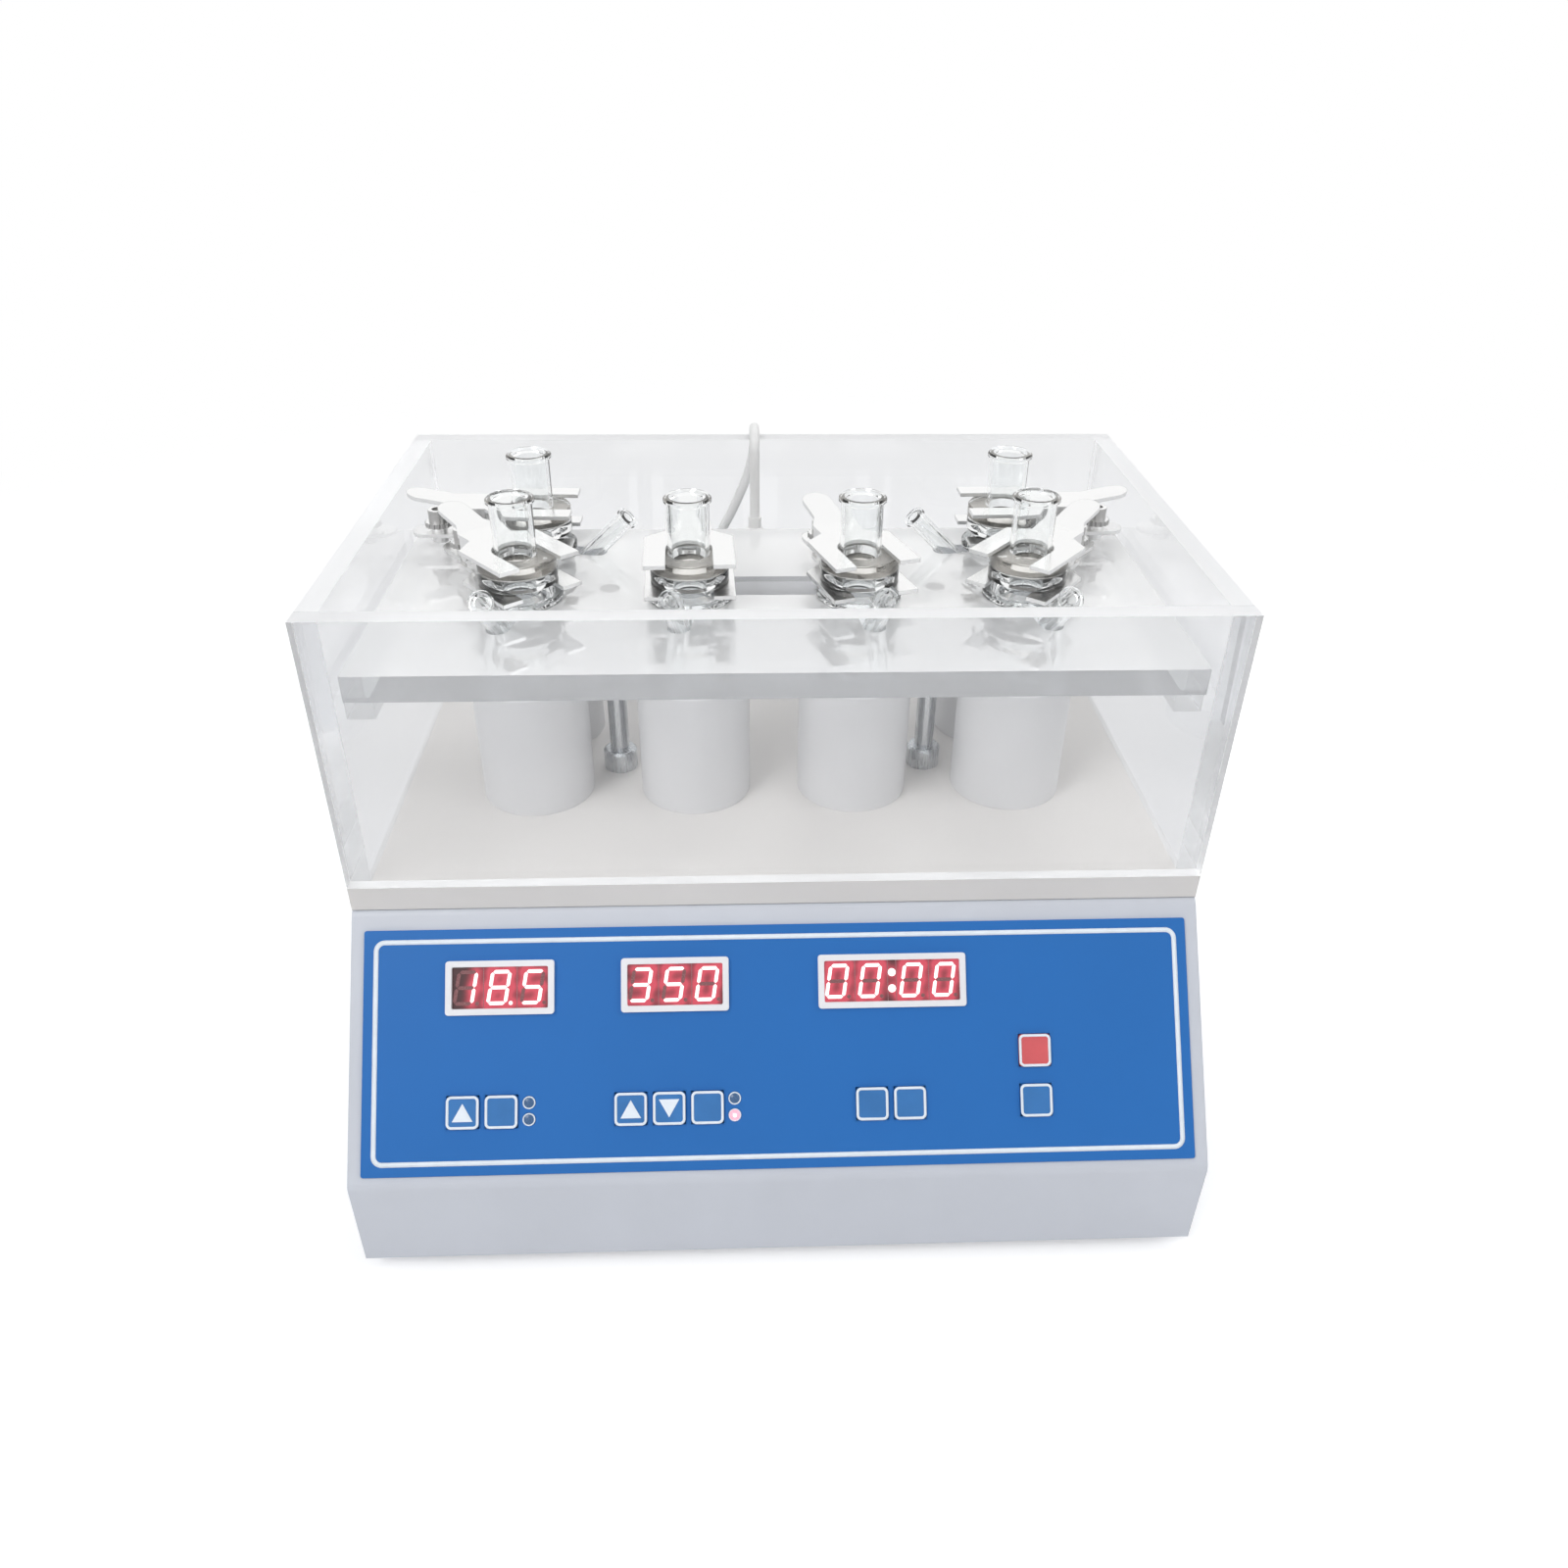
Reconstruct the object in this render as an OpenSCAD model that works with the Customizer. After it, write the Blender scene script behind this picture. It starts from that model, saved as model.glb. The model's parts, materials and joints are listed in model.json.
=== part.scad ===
// Transdermal diffusion tester: a heated clear bath on a sloped control box.
// A lift-out plate carries six glass diffusion cells, each closed by a horseshoe clamp
// and stirred by a magnet that turns in a dry tower under it.
// Millimetres, +Z up, front towards -Y, origin at the middle of the footprint on the floor.

/* [Case] */
// Width of the case and of the tank
case_w = 320; // [300:1:360]
// Height of the upright front fascia
fascia_h = 40; // [30:1:55]
// Rise of the sloped control panel
panel_rise = 80; // [72:1:95]
// Run of the sloped control panel
panel_run = 63; // [55:1:75]
// Deck left behind the tank
rear_ledge = 16; // [15:1:30]
// Thickness of the case sheet
sheet_t = 1.5; // [1:0.1:2.5]
// Inner radius of the bends in the front cover
bend_r = 4; // [2:0.5:8]
// Gap between sheet parts that meet
sheet_gap = 0.3; // [0.2:0.05:0.6]
// Height of the upturned lip of the base pan
pan_lip_h = 14; // [12:1:18]
// Height of a rubber foot
foot_h = 8; // [5:0.5:14]
// Diameter of a rubber foot
foot_d = 20; // [16:1:26]
// Distance of a foot's axis from the case sides
foot_inset = 28; // [22:1:45]
// Radius of a case screw's shank
screw_r = 1.5; // [1.25:0.05:2]
// Length of a case screw's shank
screw_l = 8; // [6:0.5:12]

/* [Control panel] */
// Width of the printed overlay
overlay_w = 310; // [300:1:312]
// Height of the printed overlay along the slope
overlay_h = 90; // [84:1:92]
// Bare strip of sheet under the overlay
overlay_foot = 4; // [3:0.5:8]
// Thickness of the overlay
overlay_t = 0.8; // [0.4:0.1:1.2]
// Corner radius of the overlay
overlay_r = 1; // [0.5:0.5:6]
// Width of one LED digit module
digit_w = 12.4; // [11:0.1:13]
// Width of the colon in the timer's display
colon_w = 3.2; // [2:0.1:5]
// Height of a display module
display_h = 17; // [16:0.5:20]
// Reach of a bezel past its module
bezel_out = 1.5; // [1:0.1:2.5]
// Lap of a bezel over its module's edge
bezel_lap = 0.8; // [0.4:0.1:1.4]
// Height of a bezel above the overlay
bezel_t = 1.4; // [1:0.1:2.5]
// Side of a square key
key_s = 12; // [10:0.5:13]
// Height of a key above the overlay
key_proud = 1; // [0.8:0.1:2]
// Travel of a key
key_travel = 0.5; // [0.3:0.05:0.7]
// Gap all round a key
key_gap = 0.35; // [0.3:0.05:0.6]
// Diameter of an indicator lens
led_d = 4.6; // [3:0.1:5]
// Depth of the control board's face behind the panel
board_depth = 10.4; // [9.5:0.1:14]
// Thickness of the control board
board_t = 1.6; // [1:0.1:2]

/* [Rear panel] */
// Width of the power inlet's flange
inlet_w = 52; // [48:1:60]
// Height of the power inlet's flange
inlet_h = 28; // [26:1:34]
// Thickness of the power inlet's flange
inlet_t = 2.5; // [2:0.1:4]
// Width of the inlet's socket
socket_w = 24; // [22:0.5:25]
// Height of the inlet's socket
socket_h = 16; // [14:0.5:17]
// Depth of the inlet's socket
socket_depth = 17; // [14:0.5:20]
// Height of the rocker's face
rocker_h = 19; // [16:0.5:21]
// Width of the rocker
rocker_w = 13; // [10:0.5:14]
// Tilt of the rocker either way
rocker_tilt = 8; // [6:0.5:10]
// How far the rocker's raised edge stands out of the rear panel
rocker_out = 6; // [5:0.5:8]

/* [Tank] */
// Depth of the tank
tank_d = 200; // [195:1:230]
// Thickness of the tank's clear walls
wall_t = 8; // [6:0.5:10]
// Height of the tank's walls above its floor plate
wall_h = 108; // [104:1:130]
// Thickness of the tank's floor plate
floor_t = 10; // [8:0.5:14]
// Thickness of the glue line between two walls
glue_t = 0.1; // [0.05:0.05:0.3]

/* [Stirring] */
// Outer diameter of a stirrer tower
tower_d = 45; // [44:0.5:48]
// Wall of a stirrer tower
tower_wall = 2.5; // [2:0.1:3]
// Thickness of a tower's closed top
tower_cap = 2.5; // [1.5:0.1:4]
// Diameter of a stirrer motor
motor_d = 36; // [32:0.5:37]
// Length of a motor hanging under the deck
motor_under = 20; // [15:0.5:30]
// Diameter of a rotor's disc
rotor_d = 30; // [24:0.5:34]
// Thickness of a rotor's disc
rotor_t = 6; // [4:0.5:8]
// Height of a rotor's magnets
magnet_h = 4.7; // [3:0.1:6]
// Radius of a rotor's shaft
shaft_r = 2; // [1.5:0.1:3]
// Radial clearance of a turning shaft
shaft_fit = 0.05; // [0.02:0.01:0.08]
// Length of a stir bar
bar_l = 12; // [8:0.5:14]
// Diameter of a stir bar
bar_d = 4; // [3:0.1:5]

/* [Rack] */
// Drop of the holder plate's top below the tank's rim
plate_drop = 24; // [20:0.5:32]
// Thickness of the holder plate
plate_t = 10; // [8:0.5:12]
// Depth of the holder plate
plate_d = 132; // [128:1:140]
// Gap between the holder plate and the side walls
plate_side_gap = 2; // [1:0.25:4]
// Gap between the holder plate and the front wall
plate_front_gap = 3; // [1:0.25:6]
// Distance between neighbouring cells of the front row
cell_pitch = 65; // [63:0.5:66]
// Distance of the front row from the plate's front edge
front_row = 61; // [58:0.5:64]
// Distance between the two rows
row_gap = 51; // [49:0.5:54]
// Distance of the back cells from the tank's side walls
back_cell_room = 54.5; // [53:0.5:58]
// Width of the lifting slot
slot_w = 36; // [25:1:40]
// Depth of the lifting slot
slot_d = 18; // [15:0.5:22]
// Section of the ledges under the plate's ends
ledge_s = 10; // [8:0.5:14]
// Diameter of a plate post
post_d = 8; // [6:0.5:10]
// Diameter of a post's foot
post_foot_d = 14; // [12:0.5:15]

/* [Cell] */
// Diameter of the receptor's body
body_d = 26; // [24:0.5:28]
// Wall of the receptor's body
glass_t = 3; // [2:0.25:3.5]
// Depth of the receptor below the plate's top
body_depth = 30; // [28:0.5:32]
// Diameter of the collar that rests on the plate
collar_d = 33; // [31:0.5:35]
// Thickness of the collar
collar_t = 3; // [2.5:0.25:3.5]
// Diameter of the receptor's neck
neck_d = 17; // [16:0.25:18]
// Bore of the neck and of the donor tube
orifice_d = 13; // [11:0.25:13.5]
// Height of the neck above the collar
neck_h = 4.5; // [4:0.25:6]
// Diameter of the ground flanges
flange_d = 30; // [28:0.5:31]
// Thickness of a ground flange
flange_t = 5; // [4:0.25:6]
// Thickness of the membrane
membrane_t = 0.5; // [0.3:0.05:1]
// Diameter of the donor tube
donor_d = 16; // [15.5:0.25:16.5]
// Length of the donor tube above its flange
donor_l = 22; // [18:0.5:30]
// Diameter of a sampling arm
arm_d = 7.5; // [7:0.25:8]
// Bore of a sampling arm
arm_bore = 4.5; // [3.5:0.25:4.8]
// Distance of the arm's axis from the cell's at the plate's top
arm_reach = 24; // [23.5:0.25:25]
// Height of the arm's mouth above the plate's top
arm_rise = 16; // [13:0.5:18]
// Gap round the glass in the plate
glass_gap = 0.5; // [0.4:0.05:1]

/* [Clamp] */
// Thickness of the clamp's sheet
jaw_t = 1.5; // [1.2:0.1:2]
// Width of a fork
fork_w = 34; // [32:0.5:35]
// Reach of a fork's ends past the cell's axis
fork_l = 17; // [15:0.5:18]
// Gap between a fork and the glass it straddles
fork_gap = 0.3; // [0.2:0.05:0.5]
// Distance of the hinge pin from the cell's axis
hinge_x = 22; // [21.5:0.25:24]
// Radius of the hinge pin
pin_r = 1.5; // [1.2:0.1:1.8]
// Radius of the ears round the hinge pin
ear_r = 4; // [3.5:0.25:4]
// Half width of the clamp across its ears
ear_half = 9; // [8:0.25:9.5]
// Play between parts of a clamp that move
clamp_gap = 0.3; // [0.25:0.05:0.5]
// Distance of the locking stud from the cell's axis
stud_x = 40; // [38:0.5:42]
// Radius of the locking stud
stud_r = 2; // [1.5:0.1:2.5]
// Diameter of the lock nut's sleeve
nut_d = 7.5; // [7:0.25:8]
// Height of the lock nut with its flange
nut_h = 7; // [6:0.25:7]
// Diameter of the lock nut's knurled flange
nut_flange_d = 11; // [10:0.25:11.5]
// Thickness of the lock nut's knurled flange
nut_flange_t = 2; // [1.5:0.1:2.5]
// Angle at which the upper handle rises behind the hinge
handle_rise = 10; // [10:0.5:14]
// Width of a clamp's handle
handle_w = 12; // [10:0.5:14]
// Distance of the handle's tip from the cell's axis
handle_l = 51; // [49:0.5:53]

/* [Heating] */
// Diameter of the heater tube
heater_d = 7; // [6:0.5:8]
// Length of the heater's straight runs
heater_l = 200; // [160:5:230]
// Distance between the heater's two runs
heater_gap = 14; // [13.5:0.5:18]
// Height of the heater above the tank's floor
heater_rise = 16; // [15:0.5:24]
// Distance of the heater's rear run from the back wall
heater_back = 8; // [7:0.5:12]
// Diameter of the temperature probe's ball
probe_ball_d = 9; // [7:0.5:11]
// Diameter of the probe's lead
lead_d = 4.5; // [4:0.25:5]

/* [Hidden] */
$fn = 48;

// Overrun that makes a cut pass cleanly through a face
over = 1;
case_d = panel_run + tank_d + rear_ledge;
front_y = -(case_d + rocker_out) / 2;
rear_y = front_y + case_d;
pan_z = foot_h;
crease_z = pan_z + fascia_h;
deck_z = crease_z + panel_rise;
panel_a = atan2(panel_rise, panel_run);
tank_y = front_y + panel_run;
floor_z = deck_z + floor_t;
rim_z = floor_z + wall_h;
plate_z = rim_z - plate_drop;
plate_under = plate_z - plate_t;
plate_w = case_w - 2 * wall_t - 2 * plate_side_gap;
plate_y = tank_y + wall_t + plate_front_gap;
row_y = plate_y + front_row;
back_cell_x = case_w / 2 - wall_t - back_cell_room;
cells = [
  [-1.5 * cell_pitch, row_y], [-0.5 * cell_pitch, row_y],
  [0.5 * cell_pitch, row_y], [1.5 * cell_pitch, row_y],
  [-back_cell_x, row_y + row_gap], [back_cell_x, row_y + row_gap]
];
// Directions of the clamp handles and of the sampling arms, seen from above
handle_turn = [130, 92, 108, 50, 178, 2];
arm_turn = [260, 262, 278, 280, -12, 192];
deck_bore_r = motor_d / 2 + 0.6;
// Posts and lifting slot, behind the front row
post_row = 16;
post_foot_h = 9;
slot_row = 10;
// Ledges end this far inside the plate's front and back edges
ledge_in = 6;

// Heights in a cell, from the plate's top
low_flange_z = collar_t + neck_h;
membrane_z = low_flange_z + flange_t;
high_flange_z = membrane_z + membrane_t;
donor_z = high_flange_z + flange_t;
low_jaw_z = low_flange_z - jaw_t;
high_jaw_z = donor_z + clamp_gap;
pin_z = (low_flange_z + high_jaw_z) / 2;
stud_head_h = 3.4;
stud_boss_h = 1.5;
nut_z = low_flange_z + stud_boss_h + clamp_gap;
stud_top = nut_z + nut_h - 1.5;
// Stack under a cell: tower, rotor, boss and motor
tower_gap = 1;
rotor_gap = 0.8;
disc_lift = 7;
motor_boss_r = 6;
motor_boss_h = 4;
motor_flange_out = 5;
motor_flange_t = 2;
shaft_in = 6;
bar_gap = 0.3;
tower_top = -body_depth - tower_gap;
rotor_top = tower_top - tower_cap - rotor_gap;
disc_z = rotor_top - magnet_h - rotor_t;
boss_top = disc_z - disc_lift;
motor_top = boss_top - motor_boss_h;
shaft_foot = motor_top - shaft_in;
bar_z = -body_depth + glass_t + bar_gap + bar_d / 2;

// Places on the overlay, from its lower left corner: displays, keys and lamps
display_y = 68.3;
displays = [[50.5, 3], [115.5, 3], [197.1, 4]];
key_row_y = 22.9;
key_top_y = 41.3;
key_xy = [
  [37, key_row_y], [51.2, key_row_y], [98.8, key_row_y], [113, key_row_y], [127.2, key_row_y],
  [188.6, key_row_y], [202.8, key_row_y], [250.4, key_top_y], [250.4, key_row_y]
];
led_pitch = 6.1;
led_x = [61.3, 137.3];
overlay_y = overlay_foot;
display_clear = 0.3;
// Lap of a key's flange under the sheet, small enough to clear the flange of the next key
key_flange = 0.9;
key_flange_t = 1;
key_stem_r = 2;
key_stem_l = 3;
switch_gap = key_travel + 0.2;
// Control board: margin inside the overlay, switches and standoffs
board_edge = [10, 4];
switch_s = 6;
solder_t = 0.05;
standoff_in = 4;
standoff_r = 3;
// Power supply on four posts on the pan
supply_size = [110, 62, 34];
supply_x = 30;
supply_back = 38;
supply_post_r = 3.5;
supply_post_h = 6;
supply_post_in = 8;

rocker_half = rocker_h / 2;
rocker_rise = 5;
pivot_out = rocker_out - rocker_half * sin(rocker_tilt) - rocker_rise * cos(rocker_tilt);
inlet_x = -105;
inlet_z = pan_z + 45;
socket_x = -11;
rocker_x = 13;
// Cross pin of the rocker and its reach past the rocker's sides
rocker_pin_r = 1;
rocker_pin_out = 1.8;
// Lap of the inlet's flange past its cutout, sideways and upwards
inlet_lap = [4, 2];
// Ventilation slots, width and length, in the pan and in the rear panel
vent_n = 9;
pan_vent = [3, 34];
pan_vent_pitch = 10;
rear_vent = [4, 40];
rear_vent_pitch = 12;
rear_vent_x = 20;
rear_vent_z = pan_z + 62;

// Route of the probe's lead: out of the ball, in a bend over the back wall and down to the deck's gland
gland_x = -40;
gland_r = 6;
gland_h = 9;
gland_nut_h = 4;
probe_sleeve_l = 5;
probe_sleeve_t = 0.8;
probe_x = -5.5;
probe_z = plate_under - 6;
back_in = tank_y + tank_d - wall_t;
back_out = tank_y + tank_d;
gland_y = back_out + rear_ledge / 2;
hook_r = 2 * lead_d;
hook_y = back_out - wall_t / 2;
hook_z = rim_z - sqrt(pow(hook_r - lead_d / 2 - 0.3, 2) - pow(wall_t / 2, 2));
probe_y = hook_y - hook_r;
lead_route = concat(
  [[probe_x, probe_y, probe_z], [probe_x, probe_y, probe_z + 12], [probe_x, probe_y, probe_z + 24]],
  [for (a = [180:-22.5:0]) [probe_x, hook_y + hook_r * cos(a), hook_z + hook_r * sin(a)]],
  [
    [probe_x - 2, hook_y + hook_r, rim_z - 16],
    [probe_x - 9, hook_y + hook_r, rim_z - 34],
    [probe_x - 18, hook_y + hook_r + 1, rim_z - 52],
    [probe_x - 27, hook_y + hook_r + 2, rim_z - 72],
    [gland_x + 2, gland_y - 0.5, rim_z - 90],
    [gland_x, gland_y, rim_z - 102],
    [gland_x, gland_y, deck_z + gland_h - 3]
  ]
);
lead_sides = 10;

function unit(v) = v / norm(v);

// Points of an arc that rounds the corner q between p and r
function rounded(p, q, r, rad) =
  let (
    a = unit(p - q),
    b = unit(r - q),
    half = acos(a * b) / 2,
    c = q + unit(a + b) * rad / sin(half),
    s = q + a * rad / tan(half) - c,
    e = q + b * rad / tan(half) - c,
    a0 = atan2(s.y, s.x),
    turn = (atan2(e.y, e.x) - a0 + 540) % 360 - 180,
    steps = 8
  )
  [for (i = [0:steps]) c + rad * [cos(a0 + turn * i / steps), sin(a0 + turn * i / steps)]];

// Side view of the case, moved inwards by off, as points (Y, Z)
function case_profile(off, rad, foot, back) =
  let (
    low = [front_y + off, foot],
    crease = [front_y + off, crease_z - off * tan((90 - panel_a) / 2)],
    brow = [front_y + panel_run + off * tan(panel_a / 2), deck_z - off],
    tail = [back, deck_z - off]
  )
  concat([low], rounded(low, crease, brow, rad), rounded(crease, brow, tail, rad), [tail, [back, foot]]);

// Extrudes a (Y, Z) outline along X, centred
module along_x(w) {
  rotate([90, 0, 90]) translate([0, 0, -w / 2]) linear_extrude(w) children();
}

module rounded_rect(w, h, r) {
  square([w - 2 * r, h], center = true);
  square([w, h - 2 * r], center = true);
  for (sx = [-1, 1], sy = [-1, 1]) translate([sx * (w / 2 - r), sy * (h / 2 - r)]) circle(r);
}

module slot_2d(w, l) {
  square([w, l - w], center = true);
  for (s = [-1, 1]) translate([0, s * (l - w) / 2]) circle(w / 2);
}

// Lays children on the sloped panel: X across, Y up the slope, Z out of the sheet
module on_panel() {
  translate([0, front_y, crease_z]) rotate([panel_a, 0, 0]) children();
}

// Moves a place on the overlay to the panel's own X and Y
module on_overlay(p) {
  translate([p.x - overlay_w / 2, p.y + overlay_y, 0]) children();
}

module at_cell(i) {
  translate([cells[i].x, cells[i].y, plate_z]) children();
}

function display_w(n) = n * digit_w + (n > 3 ? colon_w : 0);

// Openings that the sheet and the overlay share
module panel_openings() {
  for (d = displays) on_overlay([d.x, display_y])
    square([display_w(d.y) + 2 * display_clear, display_h + 2 * display_clear], center = true);
  for (k = key_xy) on_overlay(k) square(key_s + 2 * key_gap, center = true);
  for (x = led_x, s = [-1, 1]) on_overlay([x, key_row_y + s * led_pitch / 2]) circle(led_d / 2 + 0.1);
}

// Place of the heater's hairpin, the bend of its ends, their length under the floor and its nuts
heater_y = back_in - heater_back;
heater_x = -heater_l / 2;
heater_bend = 10;
heater_tail = 8;
heater_nut_r = 7.5;
heater_nut_h = 5;

// Holes through the deck and the tank's floor for the motors and the heater
module deck_bores(z, h) {
  for (c = cells) translate([c.x, c.y, z]) cylinder(r = deck_bore_r, h = h);
  for (s = [0, 1]) translate([heater_x - heater_bend, heater_y - s * heater_gap, z])
    cylinder(d = heater_d + 0.2, h = h);
}

foot_places = [for (sx = [-1, 1], y = [front_y + foot_inset, rear_y - foot_inset])
  [sx * (case_w / 2 - foot_inset), y]];
rear_screws = [for (x = [-0.44, -0.15, 0.15, 0.44]) x * case_w];
rear_screw_z = pan_z + pan_lip_h / 2;

module base_pan() color("gainsboro") {
  inner = sheet_t + sheet_gap;
  w = case_w - 2 * inner;
  d = case_d - 2 * inner;
  difference() {
    translate([-w / 2, front_y + inner, pan_z]) cube([w, d, pan_lip_h]);
    translate([-w / 2 + sheet_t, front_y + inner + sheet_t, pan_z + sheet_t])
      cube([w - 2 * sheet_t, d - 2 * sheet_t, pan_lip_h]);
    for (p = foot_places) translate([p.x, p.y, pan_z - over]) cylinder(r = screw_r, h = sheet_t + 2 * over);
    for (x = rear_screws) translate([x, rear_y - sheet_t, rear_screw_z]) rotate([90, 0, 0])
      cylinder(r = screw_r, h = inner + sheet_t + over);
    for (i = [-vent_n:vent_n]) translate([i * pan_vent_pitch, 0, pan_z - over])
      linear_extrude(sheet_t + 2 * over) slot_2d(pan_vent.x, pan_vent.y);
  }
}

module front_cover() color("lightsteelblue") difference() {
  along_x(case_w) polygon(case_profile(0, bend_r + sheet_t, pan_z, rear_y));
  along_x(case_w + 2 * over) polygon(case_profile(sheet_t, bend_r, pan_z - over, rear_y + over));
  on_panel() translate([0, 0, -sheet_t - over]) linear_extrude(sheet_t + 2 * over) panel_openings();
  deck_bores(deck_z - sheet_t - over, sheet_t + 2 * over);
  translate([gland_x, gland_y, deck_z - sheet_t - over])
    cylinder(d = lead_d, h = sheet_t + 2 * over);
}

module side_panels() color("lightsteelblue") {
  inner = sheet_t + sheet_gap;
  for (s = [-1, 1]) translate([s * (case_w - sheet_t) / 2, 0, 0])
    along_x(sheet_t) polygon(case_profile(inner, bend_r, pan_z, rear_y - inner));
}

module rear_panel() color("lightsteelblue") difference() {
  translate([-case_w / 2, rear_y - sheet_t, pan_z])
    cube([case_w, sheet_t, deck_z - sheet_t - sheet_gap - pan_z]);
  translate([inlet_x, rear_y + over, inlet_z]) rotate([90, 0, 0])
    linear_extrude(sheet_t + 2 * over) square([inlet_w, inlet_h] - 2 * inlet_lap, center = true);
  for (i = [0:vent_n - 1]) translate([rear_vent_x + i * rear_vent_pitch, rear_y + over, rear_vent_z])
    rotate([90, 0, 0]) linear_extrude(sheet_t + 2 * over) slot_2d(rear_vent.x, rear_vent.y);
  for (x = rear_screws) translate([x, rear_y + over, rear_screw_z]) rotate([90, 0, 0])
    cylinder(r = screw_r, h = sheet_t + 2 * over);
}

// Pan head with a slightly domed top, standing on z = 0 with its shank below
module pan_screw() {
  head_r = 2 * screw_r;
  rotate_extrude() polygon([[0, -screw_l], [screw_r, -screw_l], [screw_r, 0], [head_r, 0],
    [head_r, 0.8 * screw_r], [0.8 * head_r, 1.2 * screw_r], [0, 1.3 * screw_r]]);
}

module case_screws() color("silver") {
  for (x = rear_screws) translate([x, rear_y, rear_screw_z]) rotate([-90, 0, 0]) pan_screw();
  for (p = foot_places) translate([p.x, p.y, pan_z - foot_h / 2]) rotate([180, 0, 0]) pan_screw();
}

// Rubber foot with a counterbore for its screw
module feet() color("dimgray") for (p = foot_places) translate([p.x, p.y, 0]) rotate_extrude()
  polygon([[2 * screw_r + 1, 0], [foot_d / 2 - 1.5, 0], [foot_d / 2 - 1, 0.6], [foot_d / 2, foot_h],
    [screw_r, foot_h], [screw_r, foot_h / 2], [2 * screw_r + 1, foot_h / 2]]);

module control_overlay() color("steelblue") on_panel() linear_extrude(overlay_t) difference() {
  translate([0, overlay_y + overlay_h / 2]) rounded_rect(overlay_w, overlay_h, overlay_r);
  panel_openings();
}

module display_bezels() color("white") on_panel() for (d = displays)
  on_overlay([d.x, display_y]) translate([0, 0, overlay_t]) linear_extrude(bezel_t) difference() {
    rounded_rect(display_w(d.y) + 2 * bezel_out, display_h + 2 * bezel_out, 1.2);
    rounded_rect(display_w(d.y) - 2 * bezel_lap, display_h - 2 * bezel_lap, 0.6);
  }

module led_displays() color("darkred") on_panel() for (d = displays)
  on_overlay([d.x, display_y]) translate([0, 0, -board_depth])
    linear_extrude(board_depth + overlay_t) square([display_w(d.y), display_h], center = true);

module indicator_leds() color("mistyrose") on_panel() for (x = led_x, s = [-1, 1])
  on_overlay([x, key_row_y + s * led_pitch / 2]) rotate_extrude()
    polygon([[0, -board_depth], [led_d / 2, -board_depth], [led_d / 2, overlay_t],
      [0.38 * led_d, overlay_t + 0.5], [0.2 * led_d, overlay_t + 0.8], [0, overlay_t + 0.9]]);

module control_board() color("seagreen") on_panel() {
  board = [overlay_w, overlay_h] - 2 * board_edge;
  foot_y = overlay_y + board_edge.y;
  switch_h = board_depth - sheet_t - key_flange_t - sheet_gap - key_stem_l - switch_gap;
  translate([-board.x / 2, foot_y, -board_depth - board_t]) cube([board.x, board.y, board_t]);
  for (k = key_xy) on_overlay(k) translate([-switch_s / 2, -switch_s / 2, -board_depth + solder_t])
    cube([switch_s, switch_s, switch_h - solder_t]);
  for (x = [-0.48, -0.1, 0.48] * board.x, y = [foot_y + standoff_in, foot_y + board.y - standoff_in])
    translate([x, y, -board_depth + solder_t]) cylinder(r = standoff_r, h = board_depth - sheet_t - solder_t);
}

module power_supply() color("silver") {
  front = rear_y - supply_back - supply_size.y;
  far = [supply_size.x, supply_size.y] - [supply_post_in, supply_post_in];
  translate([supply_x, front, pan_z + sheet_t]) {
    translate([0, 0, supply_post_h]) cube(supply_size);
    for (x = [supply_post_in, far.x], y = [supply_post_in, far.y])
      translate([x, y, 0]) cylinder(r = supply_post_r, h = supply_post_h);
  }
}

module power_inlet() color("dimgray") translate([inlet_x, rear_y, inlet_z]) {
  body_w = inlet_w - 2 * inlet_lap.x - 2 * sheet_gap;
  body_h = inlet_h - 2 * inlet_lap.y - 2 * sheet_gap;
  body_depth_in = socket_depth + 5;
  rocker_room = [rocker_w + 2 * sheet_gap, rocker_h + 1.6];
  difference() {
    union() {
      rotate([-90, 0, 0]) linear_extrude(inlet_t) rounded_rect(inlet_w, inlet_h, 2);
      translate([-body_w / 2, -body_depth_in, -body_h / 2]) cube([body_w, body_depth_in + over, body_h]);
    }
    translate([socket_x, inlet_t + over, 0]) rotate([90, 0, 0]) linear_extrude(socket_depth + inlet_t + over)
      polygon([[-socket_w / 2, -socket_h / 2], [socket_w / 2, -socket_h / 2],
        [socket_w / 2, socket_h / 4], [socket_w / 3, socket_h / 2],
        [-socket_w / 3, socket_h / 2], [-socket_w / 2, socket_h / 4]]);
    translate([rocker_x - rocker_room.x / 2, -rocker_h / 2, -rocker_room.y / 2])
      cube([rocker_room.x, rocker_h, rocker_room.y]);
    translate([rocker_x, pivot_out, 0]) rotate([0, 90, 0])
      cylinder(r = rocker_pin_r + shaft_fit, h = rocker_w + 4 * rocker_pin_out, center = true);
  }
  for (p = [[-7, -1.5], [0, 2.5], [7, -1.5]])
    translate([socket_x + p.x - 2, -socket_depth, p.y - 1]) cube([4, socket_depth - 3, 2]);
}

// Rocker with two flats that meet in a shallow valley, on a cross pin
module power_rocker() color("black") translate([inlet_x + rocker_x, rear_y + pivot_out, inlet_z])
  rotate([rocker_tilt, 0, 0]) {
    along_x(rocker_w) polygon([[-4, -rocker_half / 2], [rocker_rise - 3, -rocker_half],
      [rocker_rise, -rocker_half], [rocker_rise - 1, 0], [rocker_rise, rocker_half],
      [rocker_rise - 3, rocker_half], [-4, rocker_half / 2]]);
    rotate([0, 90, 0]) cylinder(r = rocker_pin_r, h = rocker_w + 2 * rocker_pin_out, center = true);
  }

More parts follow.
